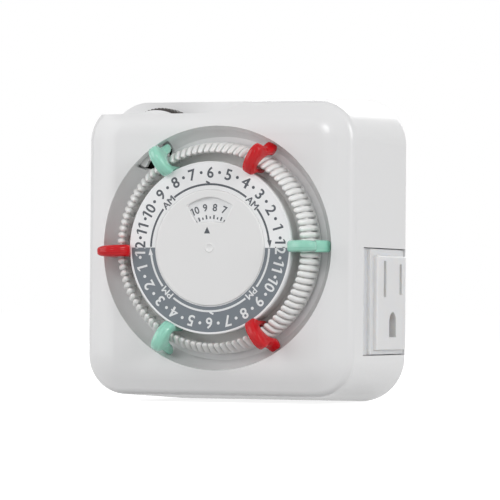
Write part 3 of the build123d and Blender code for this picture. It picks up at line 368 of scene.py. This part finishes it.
def add_figure(layer, text, height, narrow, placement):
    """Adds a word or number to a print layer, as a thin slab standing on its placement.
    Ones get a hook, and sharp-cornered figures are thickened by a second slab beside the first."""
    sharp = text in ("4", "AM", "PM")
    letter_data = bpy.data.curves.new("figure", "FONT")
    letter_data.body = text
    letter_data.size = 1.0
    letter_data.offset = 0.0 if sharp else 0.018
    letter_data.space_character = 0.86 if text in ("10", "11") else 1.0
    letter_data.resolution_u = 3
    letter = bpy.data.objects.new("figure", letter_data)
    scene.collection.objects.link(letter)
    bpy.context.view_layer.update()
    flat = bpy.data.meshes.new_from_object(letter.evaluated_get(bpy.context.evaluated_depsgraph_get()))
    glyph = bmesh.new()
    glyph.from_mesh(flat)
    for used, kept_in in ((flat, bpy.data.meshes), (letter, bpy.data.objects), (letter_data, bpy.data.curves)):
        kept_in.remove(used)
    bmesh.ops.remove_doubles(glyph, verts=glyph.verts, dist=0.0002)
    xs = [vert.co.x for vert in glyph.verts]
    ys = [vert.co.y for vert in glyph.verts]
    left, right, bottom, top = min(xs), max(xs), min(ys), max(ys)
    tall = top - bottom
    stems = [left] if text[0] == "1" else []
    if text == "11":
        stems.append(min(x for x in xs if x > left + 0.2))
    for stem in stems:
        glyph.faces.new([glyph.verts.new((stem + x * tall, top + y * tall, 0)) for x, y in one_hook])
    size = height / tall * mm
    bmesh.ops.translate(glyph, verts=glyph.verts, vec=(-(right + left) / 2, -(top + bottom) / 2, 0))
    bmesh.ops.scale(glyph, verts=glyph.verts, vec=(size * narrow, size, 1))
    raised = bmesh.ops.extrude_face_region(glyph, geom=glyph.faces[:])["geom"]
    bmesh.ops.translate(glyph, verts=[part for part in raised if isinstance(part, bmesh.types.BMVert)],
                        vec=(0, 0, ink_height * mm))
    bmesh.ops.recalc_face_normals(glyph, faces=glyph.faces)
    if sharp:
        double = bmesh.ops.duplicate(glyph, geom=glyph.verts[:] + glyph.edges[:] + glyph.faces[:])["geom"]
        bmesh.ops.translate(glyph, verts=[part for part in double if isinstance(part, bmesh.types.BMVert)],
                            vec=(0.045 * size, 0, -0.04 * ink_height * mm))
    bmesh.ops.transform(glyph, matrix=placement, verts=glyph.verts)
    join_into(layer, glyph)


def add_bar(layer, wide, high, placement, point=1.0):
    """Adds a printed stroke to a print layer, or with point 0 a triangle that points up."""
    bar = bmesh.new()
    bmesh.ops.create_cube(bar, size=1.0, matrix=Matrix.Translation((0, 0, ink_height * mm / 2))
                          @ Matrix.Diagonal((wide * mm, high * mm, ink_height * mm, 1)))
    for vert in bar.verts:
        if vert.co.y > 0:
            vert.co.x *= point
    bmesh.ops.remove_doubles(bar, verts=bar.verts, dist=1e-9)
    bmesh.ops.transform(bar, matrix=placement, verts=bar.verts)
    join_into(layer, bar)


def keep_half(shape, upper):
    """Keeps the part of a figure above or below the line between day and night."""
    bmesh.ops.bisect_plane(shape, geom=shape.verts[:] + shape.edges[:] + shape.faces[:], plane_co=(0, 0, 0),
                           plane_no=(0, 0, 1), clear_outer=not upper, clear_inner=upper)


# the hook at the head of a one, from the stem's corner, as shares of the figure's height
one_hook = ((0, 0), (0, -0.17), (-0.22, -0.27), (-0.22, -0.16))
figure_radius, figure_height, figure_narrow = 19.42, 2.92, 1.0
dot_radius, dot_place = 0.41, 19.52
degrees_an_hour = 15
day_layer, night_layer = bmesh.new(), bmesh.new()
day_half, night_half = (day_layer, print_level, True), (night_layer, print_level + ink_height, False)
for hour in range(24):
    angle = 180 - degrees_an_hour * hour
    own_half = day_half if hour < 12 else night_half
    for layer, level, upper in (day_half, night_half) if hour in (0, 12) else (own_half,):
        figure = bmesh.new()
        add_figure(figure, str(12 - hour % 12), figure_height, figure_narrow, dial_frame(figure_radius, angle, level))
        if hour in (0, 12):
            keep_half(figure, upper)
        join_into(layer, figure)
    layer, level, upper = own_half
    bmesh.ops.create_cone(layer, cap_ends=True, cap_tris=False, segments=16, radius1=dot_radius * mm,
                          radius2=dot_radius * mm, depth=ink_height * mm,
                          matrix=dial_frame(dot_place, angle - degrees_an_hour / 2, level + ink_height / 2))

# Line under the figures, broken for AM and PM, with an arrowhead where each half
# day ends and a small barb at its middle.
line_inner, line_outer = 16.1, 16.62
word_radius, word_height, word_narrow = 16.4, 1.80, 1.02
lower = 0.05 * ink_height
for layer, level, behind, words in ((day_layer, print_level, 0, "AM"),
                                    (night_layer, print_level + ink_height, 180, "PM")):
    for start, end in ((6.2, 37.5), (52.5, 127.5), (142.5, 179.3)):
        join_into(layer, arc_band(line_inner, line_outer, start - behind, end - behind, level + ink_height,
                                  ink_height, 24))
    for middle in (45, 135):
        add_figure(layer, words, word_height, word_narrow, dial_frame(word_radius, middle - behind, level))
    arrow_place = dial_frame(16.52, 3.4 - behind, level - lower) @ Matrix.Rotation(radians(-90), 4, "Z")
    add_bar(layer, 1.2, 1.9, arrow_place, point=0.0)
    barb_place = dial_frame(16.85, 92.2 - behind, level - lower) @ Matrix.Rotation(radians(62), 4, "Z")
    add_bar(layer, 0.46, 1.15, barb_place)
day_print = piece_from(day_layer, "day_figures", "dial", figure_grey)
night_print = piece_from(night_layer, "night_figures", "dial", figure_white)


# Time scale: a second ring of hours printed in the disc's recess, which the window
# in the cap shows four at a time, with a long tick at each hour and a short one between.
nine_angle = 98.9
time_radius, time_height, time_narrow = 10.4, 1.95, 0.98
time_layer = bmesh.new()
for hour in range(24):
    angle = nine_angle - degrees_an_hour * hour
    add_figure(time_layer, str((8 - hour) % 12 + 1), time_height, time_narrow, dial_frame(time_radius, angle, recess))
    add_bar(time_layer, 0.40, 1.05, dial_frame(7.95, angle, recess))
    add_bar(time_layer, 0.36, 0.6, dial_frame(7.8, angle - degrees_an_hour / 2, recess))
time_print = piece_from(time_layer, "time_scale", "dial", figure_grey)


# Tripper ring: nylon, with ninety-six rounded ribs that stand like a coil, and a
# carrier with forty-eight openings, so that every second rib is hollow beneath.
ring_white = plastic("ring_white", (0.87, 0.87, 0.86), (0.82, 0.82, 0.81), 0.30, depth=0.006, inner_glow=0.12)
rib_count = 96
ring_steps = 2 * rib_count
wall_inner, wall_outer = 24.9, 26.4
ring_shape = turned([(2.55, 33.7), (3.6, 33.7), (3.6, 35.5), (5.0, 35.5), (5.0, 38.9), (27.4, 38.9), (27.4, 39.3),
                     (wall_outer, 39.4), (wall_outer, 43.2), (26.1, 43.9), (25.4, 44.3), (25.1, 44.0),
                     (wall_inner, 43.6), (wall_inner, 40.7), (22.0, 40.7), (22.0, 45.6),
                     (20.4, 45.6), (20.4, 40.7), (5.0, 40.7), (5.0, 43.85), (2.55, 43.85)], ring_steps)

# the openings are sunk in both sides of the wall, below every second rib
for wall_radius, wall_forward, sink in ((wall_inner, 42.15, 1.2), (wall_outer, 41.3, -0.9)):
    walls = []
    for face in ring_shape.faces:
        middle = face.calc_center_median()
        step = round((degrees(atan2(middle.z, middle.x)) % 360) * ring_steps / 360 - 0.5)
        if (abs(Vector((middle.x, middle.z)).length / mm - wall_radius) < 0.03
                and abs(-middle.y / mm - wall_forward) < 0.3 and step % 4 < 2):
            walls.append(face)
    bmesh.ops.inset_region(ring_shape, faces=walls, thickness=0.12 * mm, use_boundary=True, use_even_offset=True)
    sunk = bmesh.ops.extrude_face_region(ring_shape, geom=walls)["geom"]
    bmesh.ops.delete(ring_shape, geom=walls, context="FACES_ONLY")
    for vert in [part for part in sunk if isinstance(part, bmesh.types.BMVert)]:
        vert.co += sink * mm * Vector((vert.co.x, 0, vert.co.z)).normalized()

# one rib, in slices from flank to flank: each slice is drawn in towards the root
rib_half_width, rib_middle_radius = 0.70, 25.0
rib = bmesh.new()
rib_outline = [((25.1, 43.4), (25.3, 43.6)), ((24.6, 44.4), (25.1, 44.5)), ((24.5, 45.4), (25.0, 45.2)),
               ((24.5, 46.5), (25.0, 45.9)), ((24.6, 46.95), (25.1, 46.15)), ((24.85, 47.22), (25.2, 46.3)),
               ((25.15, 47.2), (25.35, 46.3)), ((25.5, 46.9), (25.5, 46.1)), ((26.1, 46.2), (25.75, 45.5)),
               ((26.7, 45.4), (26.1, 44.8)), ((27.05, 44.7), (26.35, 44.1)), ((27.25, 43.9), (26.5, 43.4)),
               ((27.35, 42.8), (26.6, 42.5)), ((27.4, 41.4), (26.65, 41.2)), ((27.4, 39.25), (26.65, 39.25)),
               ((26.1, 39.25), (26.1, 39.25)), ((26.1, 42.9), (26.1, 42.9))]
slices = []
for turn in (-88, -60, -30, 0, 30, 60, 88):
    points = []
    for middle, flank in rib_outline:
        radius, forward = Vector(middle).lerp(Vector(flank), 1 - cos(radians(turn)))
        aside = rib_half_width * sin(radians(turn)) * radius / rib_middle_radius
        points.append(rib.verts.new((radius * mm, -forward * mm, aside * mm)))
    slices.append([rib.edges.new(pair) for pair in zip(points, points[1:] + points[:1])])
for near, far in zip(slices, slices[1:]):
    bmesh.ops.bridge_loops(rib, edges=near + far)
for end in (slices[0], slices[-1]):
    bmesh.ops.contextual_create(rib, geom=end)
bmesh.ops.recalc_face_normals(rib, faces=rib.faces)
for count in range(rib_count):
    next_rib = rib.copy()
    bmesh.ops.rotate(next_rib, verts=next_rib.verts, cent=(0, 0, 0),
                     matrix=Matrix.Rotation(radians(360 * count / rib_count), 3, "Y"))
    join_into(ring_shape, next_rib)
rib.free()
ring = piece_from(ring_shape, "ribbed_ring", "dial", ring_white)
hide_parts("tripper_ring")


# Centre cap: a white disc pressed on the post and fixed, with a bevelled window,
# a moulded mark at its middle and a printed pointer.
cap_back, cap_face, cap_edge = 47.05, 47.85, 15.0
cap_white = plastic("cap_white", (0.825, 0.825, 0.825), (0.81, 0.81, 0.81), 0.30, depth=0.004)
window_inner, window_outer, window_half_angle, window_corner = 6.6, 13.0, radians(31.0), 1.0
window_heart = Vector((0, 10.2))
cap_steps = 144
headings = [Vector((cos(2 * pi * step / cap_steps), sin(2 * pi * step / cap_steps))) for step in range(cap_steps)]

# the window's outline: a ring sector, drawn in by a corner radius and swelled again,
# and felt for in small steps from a point inside it
feeling_step = 0.02
window_points = []
for away in headings:
    reach = 0.0
    while True:
        x, y = window_heart + away * (reach + feeling_step)
        radius, lean = Vector((x, y)).length, abs(atan2(x, y))
        if (radius > window_outer - window_corner or radius < window_inner + window_corner
                or radius * sin(window_half_angle - lean) < window_corner):
            break
        reach += feeling_step
    window_points.append(window_heart + away * (reach + window_corner))

# rings of points from the window's rear edge over its rounded lip and the cap's face
# to the rear edge of the rim
cap_shape = bmesh.new()
cap_rings = []
for swell, forward in ((0.0, cap_back), (0.0, cap_face - 0.30), (0.06, cap_face - 0.11), (0.16, cap_face - 0.02),
                       (0.28, cap_face), (0.40, cap_face)):
    cap_rings.append([(point + (point - window_heart).normalized() * swell, forward) for point in window_points])
for inset, forward in ((0.50, cap_face), (0.38, cap_face), (0.20, cap_face - 0.03), (0.06, cap_face - 0.14),
                       (0.0, cap_face - 0.30), (0.0, cap_back)):
    ring_points = []
    for away in headings:
        across = window_heart.dot(away)
        reach = (across ** 2 + (cap_edge - inset) ** 2 - window_heart.length ** 2) ** 0.5 - across
        ring_points.append((window_heart + away * reach, forward))
    cap_rings.append(ring_points)
cap_verts = [[cap_shape.verts.new((point.x * mm, -forward * mm, point.y * mm)) for point, forward in points]
             for points in cap_rings]
for near, far in zip(cap_verts, cap_verts[1:] + cap_verts[:1]):
    for step in range(cap_steps):
        cap_shape.faces.new((near[step - 1], near[step], far[step], far[step - 1]))
bmesh.ops.recalc_face_normals(cap_shape, faces=cap_shape.faces)

# the boss behind, which grips the post, and the moulded mark in front
boss_length = 2.8
join_into(cap_shape, turned([(2.55, cap_back - boss_length), (3.8, cap_back - boss_length), (3.8, cap_back + 0.1),
                             (2.55, cap_back + 0.1)], 96))
join_into(cap_shape, turned([(0.0, cap_face - 0.1), (1.25, cap_face - 0.1), (1.25, cap_face + 0.08),
                             (1.05, cap_face + 0.22), (0.85, cap_face + 0.08), (0.0, cap_face + 0.05)], 32))
cap = piece_from(cap_shape, "window_cap", "case", cap_white)
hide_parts("centre_cap")

pointer_x, pointer_z, pointer_width, pointer_height = -0.66, 4.54, 1.65, 1.75
pointer_layer = bmesh.new()
pointer_place = Matrix(((1, 0, 0, pointer_x * mm), (0, 0, -1, -cap_face * mm), (0, 1, 0, pointer_z * mm), (0, 0, 0, 1)))
add_bar(pointer_layer, pointer_width, pointer_height, pointer_place, point=0.0)
pointer = piece_from(pointer_layer, "time_pointer", "case", figure_grey)


# Trippers: six glossy acetal saddles that grip the ring and slide round it. The mint
# ones switch on and the red ones switch off.
on_mint = plastic("on_mint", (0.310, 0.700, 0.550), (0.250, 0.600, 0.460), 0.26, depth=0.006, coat=0.80,
                  inner_glow=0.18)
off_red = plastic("off_red", (0.640, 0.006, 0.012), (0.480, 0.004, 0.008), 0.16, depth=0.006, coat=0.42,
                  inner_glow=0.12)
for finish, shine, depths in ((on_mint, 0.30, (0.7, 1.0, 0.85)), (off_red, 0.05, (1.0, 0.10, 0.08))):
    surface = finish.node_tree.nodes["Principled BSDF"]
    surface.inputs["Specular IOR Level"].default_value = shine
    surface.inputs["Coat Roughness"].default_value = 0.03
    surface.inputs["Subsurface Radius"].default_value = depths
    surface.inputs["Subsurface Scale"].default_value = 1.0 * mm

# Each saddle is a thick band bent over the ring, from its foot in the groove over the
# crown to the tail that pushes the star wheel. Pairs are (radius, forward), the ring's side first.
saddle_steps = (1.15, 0.98, 1.15)
saddle_crown = [((23.95, 40.95), (22.65, 40.95)), ((23.95, 44.0), (22.65, 44.0)), ((23.95, 46.5), (22.62, 47.6)),
                ((24.1, 47.2), (21.95, 47.9)), ((24.5, 47.7), (21.75, 49.4)), ((24.9, 47.8), (22.9, 51.2)),
                ((25.3, 47.75), (24.9, 52.3)), ((25.8, 47.2), (27.0, 52.5))]
mint_notch = (27.9, 46.9)
mint_tail = [((26.3, 46.5), (28.9, 52.1)), ((26.8, 45.8), (30.2, 50.6)), ((27.2, 45.2), (30.0, 48.7)),
             ((27.5, 44.8), mint_notch), ((27.8, 43.9), (29.2, 45.0)), ((27.95, 42.7), (30.2, 43.2)),
             ((28.7, 41.3), (30.8, 41.9)), ((29.6, 40.45), (30.95, 40.9))]
red_tail = [((26.3, 46.5), (29.0, 52.2)), ((26.8, 45.8), (30.5, 50.9)), ((27.3, 45.3), (30.1, 48.7)),
            ((27.7, 44.6), (29.35, 47.2)), ((27.8, 43.6), (29.3, 45.0)), ((27.85, 42.6), (29.7, 43.3)),
            ((27.85, 41.6), (30.85, 42.2)), ((28.1, 40.45), (31.0, 40.7))]
for kind, tail, finish, slot_name, angles in (("on", mint_tail, on_mint, "on_green", (1.0, 120.5, 242.0)),
                                              ("off", red_tail, off_red, "off_red", (61.0, 182.0, 302.0))):
    for count, angle in enumerate(angles, 1):
        saddle = bmesh.new()
        sides = []
        for side in (0, 1):
            points = [saddle.verts.new((pair[side][0] * mm, -pair[side][1] * mm, -sum(saddle_steps) / 2 * mm))
                      for pair in saddle_crown + tail]
            sides += [saddle.edges.new(pair) for pair in zip(points, points[1:])]
        flank = bmesh.ops.bridge_loops(saddle, edges=sides)["faces"]
        for step in saddle_steps:
            moved = bmesh.ops.extrude_face_region(saddle, geom=flank)["geom"]
            flank = [part for part in moved if isinstance(part, bmesh.types.BMFace)]
            bmesh.ops.translate(saddle, verts=[part for part in moved if isinstance(part, bmesh.types.BMVert)],
                                vec=(0, 0, step * mm))
        bmesh.ops.remove_doubles(saddle, verts=saddle.verts, dist=0.0005 * mm)
        # the crown narrows to a rounded outer end, and the mint one's notch stays sharp
        for vert in saddle.verts:
            if -vert.co.y > 45.5 * mm and vert.co.x > 27.5 * mm:
                vert.co.z *= 1 - 0.30 * ((vert.co.x / mm - 27.5) / 3.0) ** 4
        bmesh.ops.recalc_face_normals(saddle, faces=saddle.faces)
        crease = saddle.edges.layers.float.new("crease_edge")
        notch_point = Vector((mint_notch[0] * mm, -mint_notch[1] * mm))
        for edge in saddle.edges:
            if kind == "on" and all((vert.co.xy - notch_point).length < 1e-6 for vert in edge.verts):
                edge[crease] = 0.8
        bmesh.ops.rotate(saddle, verts=saddle.verts, cent=(0, 0, 0), matrix=Matrix.Rotation(-radians(angle), 3, "Y"))
        node_name = f"{kind}_tripper_{count}"
        tripper = piece_from(saddle, f"{kind}_saddle_{count}", node_name, finish, crisp=180.0)
        rounding = tripper.modifiers.new("rounding", "SUBSURF")
        rounding.levels = rounding.render_levels = 2
        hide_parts(node_name)


# Override: a knurled wheel in the scoop, coloured near-black all over as painted shade for the dark gap around it,
# on one nylon axle with the white star wheel in the dial well and the cam behind the plate. The gears are the same
# nylon.
# painted shade: the wheel's near-black colour stands in for the shadowed gap at its rim in the scoop
wheel_black = plastic("wheel_black", (0.026, 0.021, 0.018), (0.040, 0.033, 0.029), 0.42, depth=0.012)
natural_nylon = plastic("natural_nylon", (0.700, 0.690, 0.640), (0.640, 0.630, 0.570), 0.36, depth=0.006,
                        inner_glow=0.2)
dress(wheel_black, "override_wheel")
dress(ring_white, "star_wheel")
dress(natural_nylon, "override_axle", "switch_cam", "dial_gear", "second_gear", "first_gear",
      "motor_pinion", "coil_bobbin")


# Receptacle: a white thermoplastic face in the side opening, in front of the moulded
# block that holds the three brass contacts. The switch stands on a phenolic base.
insert_white = plastic("insert_white", (0.790, 0.790, 0.795), (0.775, 0.775, 0.780), 0.34, depth=0.005,
                       inner_glow=0.8)
insert_white.node_tree.nodes["Principled BSDF"].inputs["Subsurface Scale"].default_value = 2.2 * mm
phenolic = plastic("phenolic", (0.100, 0.052, 0.030), (0.065, 0.036, 0.022), 0.45, flow=300.0, depth=0.01)
dress(insert_white, "receptacle_face", "contact_block")
dress(phenolic, "switch_base")


# Metal pieces: rolled brass for contacts and straps, nickel-plated brass for the plug,
# and bright steel for plate, pins, screws, can and springs, all with rolling marks.
def rolled_metal():
    """Roughness and height of rolled or drawn metal, built once for all metals."""
    group = bpy.data.node_groups.new("rolled_metal", "ShaderNodeTree")
    for socket, start in (("Gloss", 0.3), ("Gloss change", 0.1), ("Scale", 300.0), ("Stretch", 12.0)):
        group.interface.new_socket(socket, in_out="INPUT", socket_type="NodeSocketFloat").default_value = start
    for socket in ("Roughness", "Height", "Wear"):
        group.interface.new_socket(socket, in_out="OUTPUT", socket_type="NodeSocketFloat")
    into = group.nodes.new("NodeGroupInput")
    out = group.nodes.new("NodeGroupOutput")
    place = group.nodes.new("ShaderNodeTexCoord")
    along = group.nodes.new("ShaderNodeCombineXYZ")
    along.inputs["X"].default_value = 1.0
    along.inputs["Y"].default_value = 1.0
    stretch = group.nodes.new("ShaderNodeVectorMath")
    stretch.operation = "MULTIPLY"
    marks = group.nodes.new("ShaderNodeTexNoise")
    marks.inputs["Detail"].default_value = 4.0
    cloud = group.nodes.new("ShaderNodeTexNoise")
    cloud.inputs["Scale"].default_value = 120.0
    spread = group.nodes.new("ShaderNodeMath")
    spread.operation = "SUBTRACT"
    spread.inputs[1].default_value = 0.5
    change = group.nodes.new("ShaderNodeMath")
    change.operation = "MULTIPLY"
    gloss = group.nodes.new("ShaderNodeMath")
    gloss.operation = "ADD"
    link = group.links.new
    link(into.outputs["Stretch"], along.inputs["Z"])
    link(place.outputs["Object"], stretch.inputs[0])
    link(along.outputs[0], stretch.inputs[1])
    link(stretch.outputs[0], marks.inputs["Vector"])
    link(into.outputs["Scale"], marks.inputs["Scale"])
    link(place.outputs["Object"], cloud.inputs["Vector"])
    link(marks.outputs["Fac"], spread.inputs[0])
    link(spread.outputs[0], change.inputs[0])
    link(into.outputs["Gloss change"], change.inputs[1])
    link(change.outputs[0], gloss.inputs[0])
    link(into.outputs["Gloss"], gloss.inputs[1])
    link(gloss.outputs[0], out.inputs["Roughness"])
    link(marks.outputs["Fac"], out.inputs["Height"])
    link(cloud.outputs["Fac"], out.inputs["Wear"])
    return group


metal_group = rolled_metal()


def metal(name, bright, dull, gloss, scale=300.0, stretch=12.0):
    """A metal finish that varies from bright to dull, with fine rolling marks."""
    finish = bpy.data.materials.new(name)
    finish.use_nodes = True
    tree = finish.node_tree
    surface = tree.nodes["Principled BSDF"]
    surface.inputs["Metallic"].default_value = 1.0
    grain = tree.nodes.new("ShaderNodeGroup")
    grain.node_tree = metal_group
    grain.inputs["Gloss"].default_value = gloss
    grain.inputs["Gloss change"].default_value = 0.12
    grain.inputs["Scale"].default_value = scale
    grain.inputs["Stretch"].default_value = stretch
    tarnish = tree.nodes.new("ShaderNodeMix")
    tarnish.data_type = "RGBA"
    tarnish.inputs["A"].default_value = (*bright, 1)
    tarnish.inputs["B"].default_value = (*dull, 1)
    bump = tree.nodes.new("ShaderNodeBump")
    bump.inputs["Strength"].default_value = 0.3
    bump.inputs["Distance"].default_value = 0.004 * mm
    tree.links.new(grain.outputs["Wear"], tarnish.inputs["Factor"])
    tree.links.new(tarnish.outputs["Result"], surface.inputs["Base Color"])
    tree.links.new(grain.outputs["Roughness"], surface.inputs["Roughness"])
    tree.links.new(grain.outputs["Height"], bump.inputs["Height"])
    tree.links.new(bump.outputs["Normal"], surface.inputs["Normal"])
    return finish


brass = metal("brass", (0.80, 0.56, 0.22), (0.62, 0.42, 0.17), 0.32)
plated_brass = metal("plated_brass", (0.72, 0.70, 0.66), (0.62, 0.60, 0.56), 0.24, scale=500.0)
bright_steel = metal("bright_steel", (0.62, 0.62, 0.63), (0.48, 0.48, 0.49), 0.30, scale=400.0)
silver = metal("silver", (0.86, 0.85, 0.82), (0.74, 0.73, 0.70), 0.28)
dress(brass, "neutral_contact", "line_contact", "ground_contact", "neutral_strap", "ground_strap", "load_strap",
      "line_strap", "switch_lever", "fixed_contact")
dress(plated_brass, "neutral_blade", "line_blade", "ground_pin")
dress(bright_steel, "case_screws", "movement_plate", "plate_screws", "dial_post", "arbor_pins", "motor_can",
      "motor_lid", "motor_rotor", "lever_pin", "detent_leaf")
dress(silver, "moving_contact")

# Case screws: four steel self-tapping screws with domed heads and cross recesses,
# sunk in the rear cover and driven into the housing's bosses.
screw_places = ((29.3, 31.3), (29.3, -31.3), (-29.3, -31.3), (-30.4, 6.0))
shank_outline = [(1.25, 12.0), (1.25, 1.40)]
head_outline = [(2.05, 1.40), (2.28, 1.25), (2.28, 0.85), (2.15, 0.55), (1.85, 0.30), (1.55, 0.17)]
recess_turn = 20
screws = bmesh.new()
for screw_x, screw_z in screw_places:
    place = Matrix.Translation((screw_x * mm, 0, screw_z * mm))
    loops = []
    for radius, forward in shank_outline + head_outline:
        ring_verts = bmesh.ops.create_circle(screws, cap_ends=False, radius=radius * mm, segments=36,
                                             matrix=place @ Matrix.Translation((0, -forward * mm, 0))
                                             @ Matrix.Rotation(radians(90), 4, "X"))["verts"]
        loops.append(list(dict.fromkeys(edge for vert in ring_verts for edge in vert.link_edges)))
    for half_slot, reach, forward in ((0.34, 1.15, 0.11), (0.24, 0.75, 0.95)):
        cross = []
        for quarter in range(4):
            turn = Matrix.Rotation(radians(90 * quarter + recess_turn), 3, "Y")
            for x, z in ((reach, -half_slot), (reach, half_slot), (half_slot, half_slot)):
                corner = turn @ Vector((x * mm, 0, z * mm))
                cross.append(screws.verts.new((screw_x * mm + corner.x, -forward * mm, screw_z * mm + corner.z)))
        loops.append([screws.edges.new(pair) for pair in zip(cross, cross[1:] + cross[:1])])
    for near, far in zip(loops, loops[1:]):
        bmesh.ops.bridge_loops(screws, edges=near + far)
    for end in (loops[0], loops[-1]):
        bmesh.ops.contextual_create(screws, geom=end)
bmesh.ops.recalc_face_normals(screws, faces=screws.faces)
screw_set = piece_from(screws, "cross_head_screws", "case", bright_steel, crisp=50.0)
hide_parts("case_screws")

# Rear label: a plain silver film with rounded corners below the plug, left bare.
label_width, label_height, label_thickness, label_corner, label_z = 38.0, 13.0, 0.08, 1.5, -27.5
label_film = metal("label_film", (0.70, 0.70, 0.70), (0.62, 0.62, 0.62), 0.42, scale=700.0, stretch=0.1)
label_shape = bmesh.new()
bmesh.ops.create_cube(label_shape, size=1.0, matrix=Matrix.Translation((0, label_thickness / 4 * mm, label_z * mm))
                      @ Matrix.Diagonal((label_width * mm, label_thickness * mm, label_height * mm, 1)))
upright = [edge for edge in label_shape.edges
           if abs((edge.verts[0].co - edge.verts[1].co).normalized().y) > 0.9]
bmesh.ops.bevel(label_shape, geom=upright, offset=label_corner * mm, offset_type="OFFSET", segments=5, profile=0.5,
                affect="EDGES", clamp_overlap=True, material=-1)
piece_from(label_shape, "bare_label", "case", label_film)

# Winding and leads: enamelled copper wire under the can, and two thin leads in
# white insulation from the can to the plug's blades.
enamel = metal("enamelled_copper", (0.62, 0.20, 0.08), (0.46, 0.13, 0.05), 0.30, scale=900.0, stretch=0.05)
lead_white = plastic("lead_white", (0.74, 0.74, 0.72), (0.68, 0.68, 0.66), 0.42, depth=0.008)
dress(enamel, "coil_winding")
dress(lead_white, "neutral_lead", "line_lead")


scene.view_settings.view_transform = "Standard"
